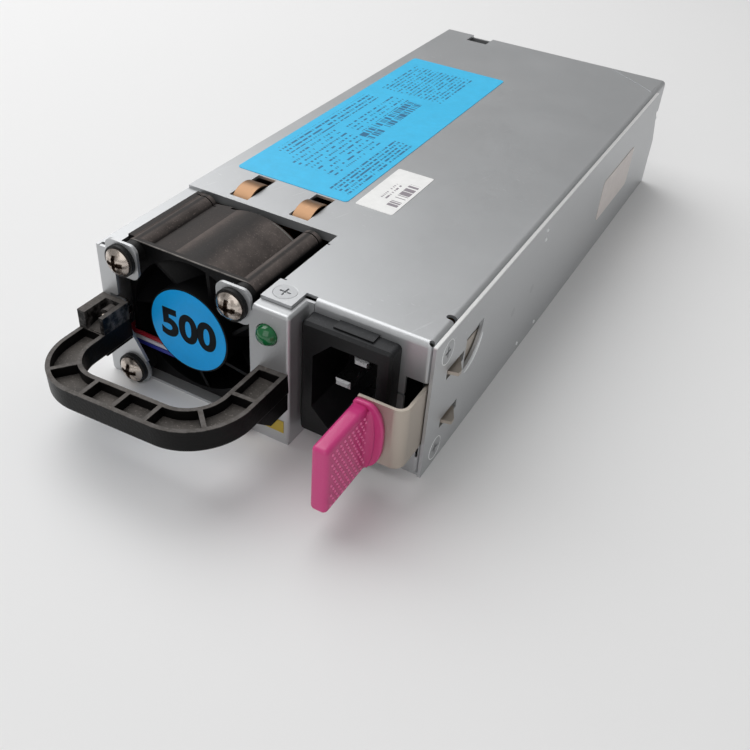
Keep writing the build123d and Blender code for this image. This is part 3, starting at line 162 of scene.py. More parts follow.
def satin_group():
    """Clouded satin metal: broad clouds and fine grain in colour, roughness and height."""
    cloud_scale, fleck_scale = 38.0, 900.0
    hair_across, hair_along = 2600.0, 90.0
    tree, start, end = shader_group(
        "satin_metal",
        [("Place", "Vector", None), ("Colour", "Color", (0.6, 0.6, 0.6, 1)), ("Shade", "Float", 0.12),
         ("Rough", "Float", 0.35), ("Grain", "Float", 1.0)],
        [("Colour", "Color"), ("Rough", "Float"), ("Height", "Float")],
    )
    place = start.outputs["Place"]
    cloud = noise_at(tree, place, cloud_scale, detail=4.0, rough=0.6)
    fleck = noise_at(tree, place, fleck_scale, detail=3.0, rough=0.7)
    hair = noise_at(tree, stretched(tree, place, hair_across, hair_along, hair_across), 1.0, rough=0.6)
    tone = plus(tree, times(tree, cloud, 0.6), times(tree, fleck, 0.4))
    level = plus(tree, times(tree, swing_about_half(tree, tone, start.outputs["Shade"]), 2.0), 1.0)
    colour = mix_colour(tree, 1.0, start.outputs["Colour"], grey(tree, level), "MULTIPLY")
    patches = plus(tree, swing_about_half(tree, cloud, 0.10), swing_about_half(tree, fleck, 0.10))
    rough = plus(tree, start.outputs["Rough"], patches)
    relief = plus(tree, times(tree, fleck, 0.7), times(tree, hair, 0.3))
    height = times(tree, relief, start.outputs["Grain"])
    feed(tree, end, [("Colour", colour), ("Rough", rough), ("Height", height)])
    return tree


def scratch_group():
    """Sparse thin scratches: two crossing sets of stretched noise, kept only at their peaks."""
    line_across, line_along, field_scale = 1500.0, 14.0, 30.0
    tree, start, end = shader_group(
        "scratches", [("Place", "Vector", None), ("Amount", "Float", 0.5)], [("Mask", "Float")])
    total = None
    for turn, shift in ((0.35, 11.0), (1.9, 37.0)):
        turned = add_node(tree, "ShaderNodeMapping", [
            ("Vector", start.outputs["Place"]), ("Location", (shift, shift / 3, 0)),
            ("Rotation", (turn / 3, 0.2, turn)),
        ]).outputs[0]
        lines = stretched(tree, turned, line_across, line_along, line_across)
        peak = ramp(tree, noise_at(tree, lines, 1.0, detail=1.0, rough=0.4), 0.70, 0.76)
        field = ramp(tree, noise_at(tree, turned, field_scale, detail=1.0), 0.52, 0.66)
        peak = times(tree, peak, field)
        total = peak if total is None else math_node(tree, "MAXIMUM", total, peak)
    feed(tree, end, [("Mask", times(tree, total, start.outputs["Amount"]))])
    return tree


def moulded_group():
    """Moulded plastic: fine texture, soft shade changes and lighter dust.

    Dust lies on faces that look up, and if asked on slopes, which look up less than a level face does.
    """
    cloud_scale, speck_scale = 120.0, 1600.0
    tree, start, end = shader_group(
        "moulded_plastic",
        [("Place", "Vector", None), ("Colour", "Color", (0.02, 0.02, 0.02, 1)),
         ("Dust Colour", "Color", (0.2, 0.19, 0.17, 1)), ("Dust", "Float", 0.1),
         ("Slope Dust", "Float", 0.0), ("Rough", "Float", 0.45),
         ("Grain Scale", "Float", 2200.0), ("Grain", "Float", 1.0)],
        [("Colour", "Color"), ("Rough", "Float"), ("Height", "Float")],
    )
    place = start.outputs["Place"]
    grain = noise_at(tree, place, start.outputs["Grain Scale"])
    cloud = noise_at(tree, place, cloud_scale, detail=5.0, rough=0.65)
    up = separate(tree, add_node(tree, "ShaderNodeNewGeometry").outputs["Normal"])[2]
    level = times(tree, ramp(tree, up, 0.5, 0.97), start.outputs["Dust"])
    slope = times(tree, ramp(tree, up, 0.35, 0.6), ramp(tree, up, 0.998, 0.965))
    facing = plus(tree, level, times(tree, slope, start.outputs["Slope Dust"]))
    specks = ramp(tree, noise_at(tree, place, speck_scale, rough=0.8), 0.60, 0.74)
    film = plus(tree, times(tree, cloud, 0.7), times(tree, specks, 0.7))
    share = add_node(tree, "ShaderNodeMath", [(0, facing), (1, film)],
                     operation="MULTIPLY", use_clamp=True).outputs[0]
    colour = mix_colour(tree, share, start.outputs["Colour"], start.outputs["Dust Colour"])
    dull = plus(tree, times(tree, share, 0.4), swing_about_half(tree, cloud, 0.18))
    rough = plus(tree, start.outputs["Rough"], dull)
    height = times(tree, grain, start.outputs["Grain"])
    feed(tree, end, [("Colour", colour), ("Rough", rough), ("Height", height)])
    return tree


def print_group():
    """Filler print in rows: cells along a row are inked or left clear at random, inside one rectangle.

    Each row is shifted by a sine of its number, so that its cells stand apart from its neighbours'.
    """
    row_turn, row_shift = 12.9, 7.0
    tree, start, end = shader_group(
        "filler_print",
        [("Along", "Float", 0.0), ("Across", "Float", 0.0), ("Cell", "Float", 1.0), ("Row", "Float", 1.0),
         ("Fill", "Float", 0.5), ("Share", "Float", 0.6), ("Seed", "Float", 0.0),
         ("From Along", "Float", 0.0), ("To Along", "Float", 1.0),
         ("From Across", "Float", 0.0), ("To Across", "Float", 1.0)],
        [("Mask", "Float")],
    )
    out = start.outputs
    rows = math_node(tree, "DIVIDE", out["Across"], out["Row"])
    row = math_node(tree, "FLOOR", rows)
    inside_row = math_node(tree, "LESS_THAN", math_node(tree, "FRACT", rows), out["Fill"])
    shift = times(tree, math_node(tree, "SINE", times(tree, row, row_turn)), row_shift)
    cells = plus(tree, math_node(tree, "DIVIDE", out["Along"], out["Cell"]), shift)
    cell = math_node(tree, "FLOOR", cells)
    key = add_node(tree, "ShaderNodeCombineXYZ", [(0, cell), (1, row), (2, out["Seed"])]).outputs[0]
    chance = add_node(tree, "ShaderNodeTexWhiteNoise", [("Vector", key)],
                      noise_dimensions="3D").outputs["Value"]
    mask = times(tree, inside_row, math_node(tree, "LESS_THAN", chance, out["Share"]))
    for value in ("Along", "Across"):
        mask = times(tree, mask, math_node(tree, "GREATER_THAN", out[value], out["From " + value]))
        mask = times(tree, mask, math_node(tree, "LESS_THAN", out[value], out["To " + value]))
    feed(tree, end, [("Mask", mask)])
    return tree


SATIN = satin_group()
SCRATCH = scratch_group()
MOULDED = moulded_group()
PRINT = print_group()


# Materials
def new_material(name):
    """A material with only a Principled shader and the object's coordinates."""
    material = bpy.data.materials.new(name)
    material.use_nodes = True
    tree = material.node_tree
    tree.nodes.clear()
    end = tree.nodes.new("ShaderNodeOutputMaterial")
    shader = tree.nodes.new("ShaderNodeBsdfPrincipled")
    tree.links.new(shader.outputs[0], end.inputs[0])
    place = tree.nodes.new("ShaderNodeTexCoord").outputs["Object"]
    return material, tree, shader, place


def raise_surface(tree, shader, height, distance):
    """Feed a height to the shader's normal."""
    bump = add_node(tree, "ShaderNodeBump", [("Height", height), ("Distance", distance), ("Strength", 1.0)])
    tree.links.new(bump.outputs[0], shader.inputs["Normal"])


def metal(name, colour, rough, shade=0.10, metallic=1.0, painted_edge_highlight=None):
    """Satin metal with clouds, grain and thin scratches, if asked with a painted highlight along the wall's
    top edge.
    """
    scratches, lighter_by, smoother_by, scratch_depth, relief = 0.4, 1.35, 0.12, 0.8, 0.02 * MM
    material, tree, shader, place = new_material(name)
    body = use_group(tree, SATIN, [("Place", place), ("Colour", (*colour, 1)), ("Shade", shade),
                                   ("Rough", rough), ("Grain", 1.0)])
    marks = use_group(tree, SCRATCH, [("Place", place), ("Amount", scratches)]).outputs[0]
    lighter = [min(1.0, channel * lighter_by) for channel in colour]
    skin = mix_colour(tree, marks, body.outputs["Colour"], (*lighter, 1))
    # Painted highlight: a thin near-white line along the top edge of the right wall.
    if painted_edge_highlight:
        axes = separate(tree, place)
        high = ramp(tree, axes[2], CASE_TOP - 0.62 * MM, CASE_TOP - 0.36 * MM)
        outside = ramp(tree, axes[0], WALL_FACE - 0.82 * MM, WALL_FACE - 0.76 * MM)
        skin = mix_colour(tree, times(tree, high, outside), skin, (*painted_edge_highlight, 1))
    fine = minus(tree, body.outputs["Rough"], times(tree, marks, smoother_by))
    feed(tree, shader, [("Base Color", skin), ("Roughness", fine), ("Metallic", metallic)])
    dip = minus(tree, body.outputs["Height"], times(tree, marks, scratch_depth))
    raise_surface(tree, shader, dip, relief)
    return material


def screw_metal(name, colour, rough, shade_and_stain):
    """Plated domed screws with painted shade, dark brown, in and round the cross of each head, and random
    brown stains.

    The heads lie at equal distances from the fan's axis, so the distance to the arms of the nearest cross is
    the smaller of ||x - fan| - offset| and ||z - fan| - offset|.
    """
    arm_core, arm_edge, ragged_by = 0.45 * MM, 0.75 * MM, 0.35 * MM
    cross_core, cross_edge = 1.7 * MM, 2.3 * MM
    material, tree, shader, place = new_material(name)
    axes = separate(tree, place)
    arms = []
    for axis, middle in ((0, FAN_X), (2, FAN_Z)):
        reach = math_node(tree, "ABSOLUTE", minus(tree, axes[axis], middle))
        arms.append(math_node(tree, "ABSOLUTE", minus(tree, reach, SCREW_OFFSET)))
    uneven = noise_at(tree, place, 1300.0, detail=3.0, rough=0.7)
    ragged = ramp(tree, uneven, 0.3, 0.7, -ragged_by, ragged_by)
    near = plus(tree, math_node(tree, "MINIMUM", *arms), ragged)
    far = plus(tree, math_node(tree, "MAXIMUM", *arms), ragged)
    # Painted shade in and round each cross recess, with ragged edges.
    recess_shade = times(tree, ramp(tree, near, arm_edge, arm_core), ramp(tree, far, cross_edge, cross_core))
    stain = ramp(tree, noise_at(tree, place, 620.0, detail=3.0, rough=0.6), 0.50, 0.62, 0.0, 0.55)
    # One dark brown serves both the painted shade in the crosses and the random stains.
    share = math_node(tree, "MAXIMUM", recess_shade, stain)
    body = use_group(tree, SATIN, [("Place", place), ("Colour", (*colour, 1)), ("Shade", 0.15),
                                   ("Rough", rough), ("Grain", 1.0)])
    skin = mix_colour(tree, share, body.outputs["Colour"], (*shade_and_stain, 1))
    dull = plus(tree, body.outputs["Rough"], times(tree, share, 0.15))
    feed(tree, shader, [("Base Color", skin), ("Roughness", dull), ("Metallic", 1.0)])
    raise_surface(tree, shader, body.outputs["Height"], 0.03 * MM)
    return material


def fan_dust_and_edge_highlight(tree, place, colour, dust, slope_dust, radius):
    """The fan's own dust and a painted highlight: a light line painted along its flange's top front edge,
    broken up by noise, and dust only beyond a radius from its axis, the root of (x - fan)^2 + (z - fan)^2."""
    axes = separate(tree, place)
    # Painted highlight: a light line along the flange's top front edge, broken up by noise.
    edge = times(tree, ramp(tree, axes[1], FLANGE_FRONT + 0.34 * MM, FLANGE_FRONT + 0.1 * MM),
                 ramp(tree, axes[2], FLANGE_TOP - 0.3 * MM, FLANGE_TOP - 0.12 * MM))
    highlight_breakup = ramp(tree, noise_at(tree, place, 260.0, detail=3.0, rough=0.7), 0.35, 0.6, 0.35, 1.0)
    base = mix_colour(tree, times(tree, edge, highlight_breakup), colour, (0.30, 0.28, 0.265, 1))
    side = minus(tree, axes[0], FAN_X)
    rise = minus(tree, axes[2], FAN_Z)
    square = plus(tree, times(tree, side, side), times(tree, rise, rise))
    outside = ramp(tree, math_node(tree, "SQRT", square), radius - 0.4 * MM, radius)
    return base, times(tree, outside, dust), times(tree, outside, slope_dust)


def plastic(name, colour, rough, dust=0.1, dust_colour=(0.2, 0.19, 0.17), grain_scale=2200.0, coat=0.0,
            gloss=0.5, slope_dust=0.0, dust_beyond=None):
    """Moulded plastic with fine texture and a film of dust, if asked with the fan's own dust and a painted
    highlight on its flange's edge.
    """
    material, tree, shader, place = new_material(name)
    base = (*colour, 1)
    if dust_beyond:
        base, dust, slope_dust = fan_dust_and_edge_highlight(tree, place, base, dust, slope_dust, dust_beyond)
    body = use_group(tree, MOULDED, [
        ("Place", place), ("Colour", base), ("Dust Colour", (*dust_colour, 1)), ("Dust", dust),
        ("Slope Dust", slope_dust), ("Rough", rough), ("Grain Scale", grain_scale)])
    feed(tree, shader, [("Base Color", body.outputs["Colour"]), ("Roughness", body.outputs["Rough"]),
                        ("Coat Weight", coat), ("Specular IOR Level", gloss)])
    raise_surface(tree, shader, body.outputs["Height"], 0.04 * MM)
    return material


def worn_highlit_plastic(name, colour, rough, rub_and_highlight, level):
    """Moulded plastic whose top rims are lighter above a level that tilts with the handle: partly wear from
    rubbing, partly painted highlight.
    """
    material, tree, shader, place = new_material(name)
    body = use_group(tree, MOULDED, [("Place", place), ("Colour", (*colour, 1)), ("Dust", 1.3),
                                     ("Dust Colour", (0.190, 0.172, 0.158, 1)), ("Rough", rough),
                                     ("Grain Scale", 1500.0)])
    axes = separate(tree, place)
    tilted = minus(tree, axes[2], times(tree, axes[0], HANDLE_TILT))
    # Lighter top rims: partly wear from rubbing, partly painted highlight.
    high = ramp(tree, tilted, level - 0.3 * MM, level)
    rub = ramp(tree, noise_at(tree, place, 420.0, detail=4.0, rough=0.7), 0.42, 0.66)
    share = times(tree, times(tree, high, rub), 0.7)
    skin = mix_colour(tree, share, body.outputs["Colour"], (*rub_and_highlight, 1))
    feed(tree, shader, [("Base Color", skin), ("Roughness", body.outputs["Rough"]),
                        ("Specular IOR Level", 0.14)])
    raise_surface(tree, shader, body.outputs["Height"], 0.05 * MM)
    return material


def paper(name, colour, rough, marks=(), gloss=0.5):
    """A printed label: an even ground with faint mottling and rows of filler print."""
    material, tree, shader, place = new_material(name)
    axes = separate(tree, place)
    mottle = ramp(tree, noise_at(tree, place, 300.0, detail=4.0, rough=0.7), 0.3, 0.7, 0.94, 1.04)
    ground = mix_colour(tree, 1.0, (*colour, 1), grey(tree, mottle), "MULTIPLY")
    for ink, values in marks:
        rows = use_group(tree, PRINT, [("Along", axes[1]), ("Across", axes[0])] + list(values.items()))
        ground = mix_colour(tree, rows.outputs[0], ground, (*ink, 1))
    sheen = ramp(tree, noise_at(tree, place, 90.0, detail=3.0), 0.3, 0.7, rough - 0.06, rough + 0.06)
    feed(tree, shader, [("Base Color", ground), ("Roughness", sheen), ("Specular IOR Level", gloss)])
    raise_surface(tree, shader, noise_at(tree, place, 700.0), 0.03 * MM)
    return material


def lamp_lens(name, colour, rough):
    """Clear coloured plastic with a smooth skin."""
    material, tree, shader, place = new_material(name)
    cloud = ramp(tree, noise_at(tree, place, 500.0), 0.3, 0.7, 0.85, 1.1)
    skin = mix_colour(tree, 1.0, (*colour, 1), grey(tree, cloud), "MULTIPLY")
    feed(tree, shader, [("Base Color", skin), ("Roughness", rough), ("Coat Weight", 0.6)])
    return material


def bars(cell, row, fill, share, seed, along, across):
    """The settings of one field of filler print, in millimetres, with y counted from the front."""
    return {
        "Cell": cell * MM, "Row": row * MM, "Fill": fill, "Share": share, "Seed": seed,
        "From Along": FRONT + along[0] * MM, "To Along": FRONT + along[1] * MM,
        "From Across": across[0] * MM, "To Across": across[1] * MM,
    }


BLUE_INK = (0.02, 0.16, 0.32)
GREY_INK = (0.30, 0.27, 0.30)
RATING_PRINT = [
    (BLUE_INK, bars(0.50, 1.70, 0.42, 0.70, 1.0, (66, 118), (-36.8, -31.8))),
    (BLUE_INK, bars(0.46, 1.90, 0.36, 0.50, 2.0, (62, 88), (-30.4, -14.6))),
    (BLUE_INK, bars(0.46, 1.80, 0.36, 0.48, 8.0, (92, 122), (-29.5, -23.0))),
    (BLUE_INK, bars(0.42, 5.0, 0.94, 0.55, 3.0, (89, 121), (-22.6, -17.6))),
    (BLUE_INK, bars(0.42, 1.35, 0.48, 0.66, 4.0, (55, 92), (-12.6, -5.8))),
    (BLUE_INK, bars(0.44, 1.40, 0.42, 0.52, 5.0, (126, 151), (-35.4, -12.6))),
]
SERIAL_PRINT = [
    (GREY_INK, bars(0.36, 4.6, 0.86, 0.56, 6.0, (56, 70), (4.4, 7.7))),
    (GREY_INK, bars(0.42, 1.3, 0.45, 0.6, 7.0, (59, 68), (0.6, 3.2))),
]

# Each finish: how it is made, its colour, its roughness and what else it has
FINISHES = {
    # The zinc sheet carries a painted highlight along the right wall's top edge.
    "zinc_sheet": (metal, (0.53, 0.54, 0.55), 0.42, dict(
        shade=0.05, metallic=0.75, painted_edge_highlight=(0.92, 0.92, 0.91))),
    "zinc_screw": (metal, (0.47, 0.48, 0.49), 0.40, dict(metallic=0.75)),
    # Near-white metal for thin beads, rings and dots: a painted highlight.
    "bright_rim": (metal, (0.90, 0.91, 0.92), 0.30, dict(shade=0.06, metallic=0.35)),
    "steel": (metal, (0.55, 0.55, 0.54), 0.32, {}),
    "pin_metal": (metal, (0.50, 0.50, 0.51), 0.28, dict(shade=0.2)),
    "spring_steel": (metal, (0.50, 0.445, 0.385), 0.40, dict(shade=0.06, metallic=0.85)),
    "copper_alloy": (metal, (0.33, 0.192, 0.106), 0.40, dict(shade=0.14, metallic=0.85)),
    "gold": (metal, (0.85, 0.62, 0.25), 0.24, {}),
    "copper_winding": (metal, (0.55, 0.22, 0.08), 0.30, {}),
    "aluminium": (metal, (0.66, 0.67, 0.68), 0.36, {}),
    # The nickel screws' dark brown is painted shade in the crosses and random stains.
    "nickel_screw": (screw_metal, (0.62, 0.55, 0.49), 0.24, dict(shade_and_stain=(0.075, 0.050, 0.036))),
    "fan_plastic": (plastic, (0.0030, 0.0030, 0.0034), 0.46, dict(
        dust=0.44, slope_dust=1.45, dust_colour=(0.148, 0.124, 0.114), gloss=0.2, dust_beyond=18.3 * MM)),
    # Lighter plastic for the tube's rear rim bead: a painted highlight.
    "tube_rim_plastic": (plastic, (0.16, 0.15, 0.14), 0.30, {}),
    "ferrite": (plastic, (0.05, 0.05, 0.05), 0.60, {}),
    "circuit_board": (plastic, (0.02, 0.10, 0.045), 0.30, dict(coat=0.3)),
    "rubber": (plastic, (0.005, 0.005, 0.005), 0.50, dict(dust=0.03, gloss=0.3)),
    "wire_red": (plastic, (0.30, 0.008, 0.02), 0.38, dict(dust=0.05)),
    "wire_white": (plastic, (0.60, 0.60, 0.66), 0.38, {}),
    "wire_blue": (plastic, (0.03, 0.04, 0.30), 0.38, dict(dust=0.05)),
    "white_plastic": (plastic, (0.70, 0.69, 0.64), 0.40, {}),
    "black_moulding": (plastic, (0.0040, 0.0042, 0.0048), 0.42, dict(
        dust=0.75, dust_colour=(0.09, 0.093, 0.10), grain_scale=1600.0, gloss=0.3)),
    "magenta_plastic": (plastic, (0.60, 0.040, 0.205), 0.36, dict(dust=0.02, coat=0.15)),
    # Lighter pink for the grip's dots: a painted highlight on their tops.
    "grip_dot_plastic": (plastic, (0.84, 0.19, 0.41), 0.28, dict(dust=0.02)),
    "can_sleeve": (plastic, (0.02, 0.025, 0.05), 0.30, dict(coat=0.3)),
    "yellow_tape": (plastic, (0.62, 0.42, 0.05), 0.35, {}),
    # The handle's lighter rims are partly wear and partly painted highlight.
    "black_nylon": (worn_highlit_plastic, (0.0035, 0.0033, 0.0033), 0.36, dict(
        rub_and_highlight=(0.15, 0.14, 0.135), level=HANDLE_TOP + 0.9 * MM)),
    "green_lens": (lamp_lens, (0.003, 0.13, 0.035), 0.12, {}),
    "blue_label": (paper, (0.045, 0.56, 0.92), 0.42, dict(marks=RATING_PRINT)),
    "white_label": (paper, (0.94, 0.94, 0.93), 0.45, dict(marks=SERIAL_PRINT)),
    "pale_label": (paper, (0.78, 0.72, 0.69), 0.50, {}),
    "blue_disc": (paper, (0.004, 0.39, 0.90), 0.38, dict(gloss=0.3)),
    "yellow_label": (paper, (0.50, 0.36, 0.03), 0.40, {}),
    "number_ink": (paper, (0.002, 0.004, 0.006), 0.50, dict(gloss=0.15)),
}
MATERIALS = {name: make(name, colour, rough, **more)
             for name, (make, colour, rough, more) in FINISHES.items()}

for part in frame["record"]["subparts"]:
    part_mesh = NODES[part["node"]].data
    part_mesh.materials.clear()
    part_mesh.materials.append(MATERIALS[part["material_slot"]])


# How pieces are made
ALONG, ACROSS, UP = (0, 1, 0), (1, 0, 0), (0, 0, 1)


def grid_mesh(points, closed_round=False):
    """A mesh from a grid of points of shape (rows, columns, 3), with one face for each cell.

    Where the rows close into rings, the first and the last ring are closed by a cap.
    """
    rows, columns = points.shape[:2]
    index = np.arange(rows * columns).reshape(rows, columns)
    across = np.roll(index, -1, axis=1) if closed_round else index[:, 1:]
    base = index if closed_round else index[:, :-1]
    faces = np.stack([base[:-1], across[:-1], across[1:], base[1:]], axis=-1).reshape(-1, 4)
    ends = [index[0][::-1].tolist(), index[-1].tolist()] if closed_round else []
    mesh = bpy.data.meshes.new("grid")
    mesh.from_pydata(points.reshape(-1, 3).tolist(), [], faces.tolist() + ends)
    mesh.update()
    return mesh


def smooth_faces(mesh):
    """Shade every face of a mesh smooth."""
    mesh.polygons.foreach_set("use_smooth", np.ones(len(mesh.polygons), bool))


def place_piece(name, mesh, finish, body):
    """Make a mesh an object that rides on a body."""
    mesh.name = name
    piece = bpy.data.objects.new(name, mesh)
    bpy.context.scene.collection.objects.link(piece)
    mesh.materials.clear()
    mesh.materials.append(MATERIALS[finish])
    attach(piece, body)
    return piece


def rounded_ring(middle, half, corner, steps=6):
    """A rectangle with round corners as a ring of points: each corner is its centre plus r(cos t, sin t)."""
    turn = np.linspace(0, np.pi / 2, steps)
    turns = np.concatenate([turn + quarter * np.pi / 2 for quarter in range(4)])
    side = np.repeat([(1, 1), (-1, 1), (-1, -1), (1, -1)], steps, axis=0)
    centres = np.array(middle) + side * (np.array(half) - corner)
    return centres + corner * np.stack([np.cos(turns), np.sin(turns)], axis=-1)


def dome_field(centres, normal, across, radius, height, sides=10, rings=4):
    """Round domes on a flat face.

    Each dome is the upper part of a sphere: ring k of n has radius r cos(t) and height h sin(t)
    with t from 0 to a quarter turn, closed by a small top ring, and a short skirt below the face.
    """
    skirt, tip = 0.3, 0.02
    turn = np.linspace(0, 2 * np.pi, sides, endpoint=False)
    lift = np.linspace(0, np.pi / 2, rings)[:-1]
    ring_radius = np.concatenate([[radius], radius * np.cos(lift), [radius * tip]])
    ring_height = np.concatenate([[-height * skirt], height * np.sin(lift), [height]])
    normal, across = np.array(normal, float), np.array(across, float)
    circle = np.cos(turn)[:, None] * across + np.sin(turn)[:, None] * np.cross(normal, across)
    one = ring_radius[:, None, None] * circle[None] + ring_height[:, None, None] * normal
    index = np.arange(len(ring_radius) * sides).reshape(len(ring_radius), sides)
    after = np.roll(index, -1, axis=1)
    quads = np.stack([index[:-1], after[:-1], after[1:], index[1:]], axis=-1).reshape(-1, 4)
    points = (np.array(centres)[:, None, :] + one.reshape(-1, 3)[None]).reshape(-1, 3)
    first = np.arange(len(centres)) * index.size
    faces = (quads[None] + first[:, None, None]).reshape(-1, 4)
    caps = index[-1][None] + first[:, None]
    floors = index[0][::-1][None] + first[:, None]
    mesh = bpy.data.meshes.new("domes")
    mesh.from_pydata(points.tolist(), [], faces.tolist() + caps.tolist() + floors.tolist())
    mesh.update()
    return mesh


def arc_bead(centre, across, up, radius, first, last, width, height, rows=40, sides=10):
    """A low bead along an arc on a flat face that is spanned by the directions across and up.

    Row t turns about the centre from the first to the last angle. Its section is the ellipse
    (width/2 cos s, height sin s), flattened below the face, and shrinks towards both ends as the
    root of a sine.
    """
    below = 0.3
    turn = np.radians(np.linspace(first, last, rows))[:, None, None]
    share = np.sqrt(np.sin(np.pi * np.linspace(0.02, 0.98, rows)))[:, None, None]
    around = np.linspace(0, 2 * np.pi, sides, endpoint=False)[None, :, None]
    reach = radius + share * width / 2 * np.cos(around)
    lift = share * height * np.where(np.sin(around) > 0, 1.0, below) * np.sin(around)
    across, up = np.array(across, float), np.array(up, float)
    outline = reach * (np.cos(turn) * across + np.sin(turn) * up)
    return grid_mesh(np.array(centre) + outline + lift * np.cross(across, up), closed_round=True)


def corner_facet(first, last, corner, rise, rows=12, columns=14):
    """The slightly raised corner of the cover behind its diagonal crease.

    Row k is the crease drawn towards the corner by the share k, and its height above the cover falls as
    the square of 1 - k. Each row is closed below, inside the sheet.
    """
    proud, sunk = 0.03 * MM, 0.1 * MM
    share = np.linspace(0, 0.98, rows)[:, None, None]
    along = np.linspace(0, 1, columns)[None, :, None]
    crease = np.array(first) + along * (np.array(last) - np.array(first))
    plan = crease * (1 - share) + np.array(corner) * share
    height = CASE_TOP + proud + rise * (1 - share[..., 0]) ** 2 + 0 * along[..., 0]
    upper = np.concatenate([plan, height[..., None]], axis=-1)
    lower = np.concatenate([plan, 0 * height[..., None] + CASE_TOP - sunk], axis=-1)[:, ::-1]
    return grid_mesh(np.concatenate([upper, lower], axis=1)[:, ::-1], closed_round=True)


def flat_number(text, size, centre, thickness, boldness=0.038):
    """Generic figures on an upright face that looks to the front: text made a mesh, then put in place."""
    curve = bpy.data.curves.new("figures", "FONT")
    curve.body = text
    curve.size = size
    curve.align_x = "CENTER"
    curve.align_y = "CENTER"
    curve.extrude = thickness
    curve.offset = size * boldness
    holder = bpy.data.objects.new("figures", curve)
    bpy.context.scene.collection.objects.link(holder)
    bpy.context.view_layer.update()
    mesh = bpy.data.meshes.new_from_object(holder.evaluated_get(bpy.context.evaluated_depsgraph_get()))
    bpy.data.objects.remove(holder)
    mesh.transform(Matrix.Translation(Vector(centre)) @ Matrix.Rotation(math.pi / 2, 4, "X"))
    return mesh


# The grip of the latch: limits of the blade, the plate across the strip and the clamp behind it
GRIP_LEFT, GRIP_RIGHT = 29.95 * MM, 34.15 * MM
GRIP_LOW, GRIP_HIGH = 7.5 * MM, 25.9 * MM
GRIP_TIP = FRONT - 20.7 * MM
GRIP_BACK = FRONT - 2.8 * MM
PLATE_X, PLATE_Z = 33.4 * MM, 17.6 * MM
PLATE_THICKNESS = 1.15 * MM
CLAMP_X = 31.9 * MM


def ring_stack(middle, half, shrinks, along, corners):
    """Rounded rectangles in x and z, each drawn in by its own measure and set at its own y."""
    rings = []
    for shrink, y, corner in zip(shrinks, along, corners):
        ring = rounded_ring(middle, (half[0] - shrink, half[1] - shrink), corner)
        rings.append(np.stack([ring[:, 0], np.full(len(ring), y), ring[:, 1]], axis=-1))
    return grid_mesh(np.array(rings)[:, ::-1], closed_round=True)


def grip_blade(edge=1.25 * MM, steps=7, length_steps=4):
    """The blade that the finger pushes.

    Its section in x and z is a rectangle with round corners, carried back along y. At the tip the
    section is drawn in by r(1 - cos a) while y moves by r(1 - sin a), so that the rim is round.
    """
    middle = ((GRIP_LEFT + GRIP_RIGHT) / 2, (GRIP_LOW + GRIP_HIGH) / 2)
    half = ((GRIP_RIGHT - GRIP_LEFT) / 2, (GRIP_HIGH - GRIP_LOW) / 2)
    angle = np.linspace(np.pi / 2 * 0.97, 0, steps)
    shrinks = np.concatenate([edge * (1 - np.cos(angle)), np.zeros(length_steps)]) * 0.98
    along = np.concatenate([GRIP_TIP + edge * (1 - np.sin(angle)),
                            np.linspace(GRIP_TIP + 2 * edge, GRIP_BACK, length_steps)])
    return ring_stack(middle, half, shrinks, along, edge - shrinks)


def grip_plate(edge=0.45 * MM, points=64):
    """The plate across the strip, flat on the left and bowed on the right.

    Its outline is a superellipse (a sgn(cos t)|cos t|^(2/n), b sgn(sin t)|sin t|^(2/n)) with n = 2.3 on the
    right and 7 on the left, and its front rim is rounded by drawing the outline in.
    """
    bow_right, bow_left = 2.3, 7.0
    reach_right, reach_left, reach_up, reach_down = 4.5 * MM, 3.6 * MM, 9.0 * MM, 9.2 * MM
    turn = np.linspace(0, 2 * np.pi, points, endpoint=False)
    power = np.where(np.cos(turn) > 0, 2 / bow_right, 2 / bow_left)
    half_x = np.where(np.cos(turn) > 0, reach_right, reach_left)
    half_z = np.where(np.sin(turn) > 0, reach_up, reach_down)
    angle = np.linspace(0, np.pi / 2, 5)
    inset = np.concatenate([[0.0], edge * (1 - np.cos(angle))])[:, None]
    along = np.concatenate([[GRIP_BACK], GRIP_BACK - PLATE_THICKNESS + edge * (1 - np.sin(angle))])
    x = PLATE_X + (half_x - inset) * np.sign(np.cos(turn)) * np.abs(np.cos(turn)) ** power
    z = PLATE_Z + (half_z - inset) * np.sign(np.sin(turn)) * np.abs(np.sin(turn)) ** power
    return grid_mesh(np.stack([x, along[:, None] + 0 * x, z], axis=-1), closed_round=True)


def grip_fillet(radius=1.9 * MM, sunk=0.3 * MM, margin=0.9 * MM, rows=24, steps=9):
    """The hollow fillet between blade and plate: (r - r sin a, r cos a - r) in plan, carried up along z and
    drawn in at both ends by the root of a sine."""
    angle = np.linspace(0, np.pi / 2, steps)
    size = radius * np.sqrt(np.sin(np.pi * np.linspace(0.03, 0.97, rows)))[:, None]
    inside = np.full((rows, 1), -sunk)
    x = np.concatenate([inside, size * (1 - np.sin(angle)), inside], axis=1)
    y = np.concatenate([-inside, -size * (1 - np.cos(angle)), -size], axis=1)
    z = np.linspace(GRIP_LOW + margin, GRIP_HIGH - margin, rows)[:, None] + 0 * x
    points = np.stack([GRIP_RIGHT + x, GRIP_BACK - PLATE_THICKNESS + y, z], axis=-1)
    return grid_mesh(points, closed_round=True)


def grip_clamp(half=(2.7 * MM, 7.6 * MM), corner=1.2 * MM, edge=0.4 * MM):
    """The clamp behind the strip: a plate with round corners and a round rear rim."""
    front, rear = GRIP_BACK + 0.7 * MM, GRIP_BACK + 1.5 * MM
    angle = np.linspace(0, np.pi / 2, 5)
    shrinks = np.concatenate([[0.0], edge * (1 - np.cos(angle))])
    along = np.concatenate([[front], rear + edge * np.sin(angle)])
    return ring_stack((CLAMP_X, PLATE_Z), half, shrinks, along, np.full(len(along), corner))


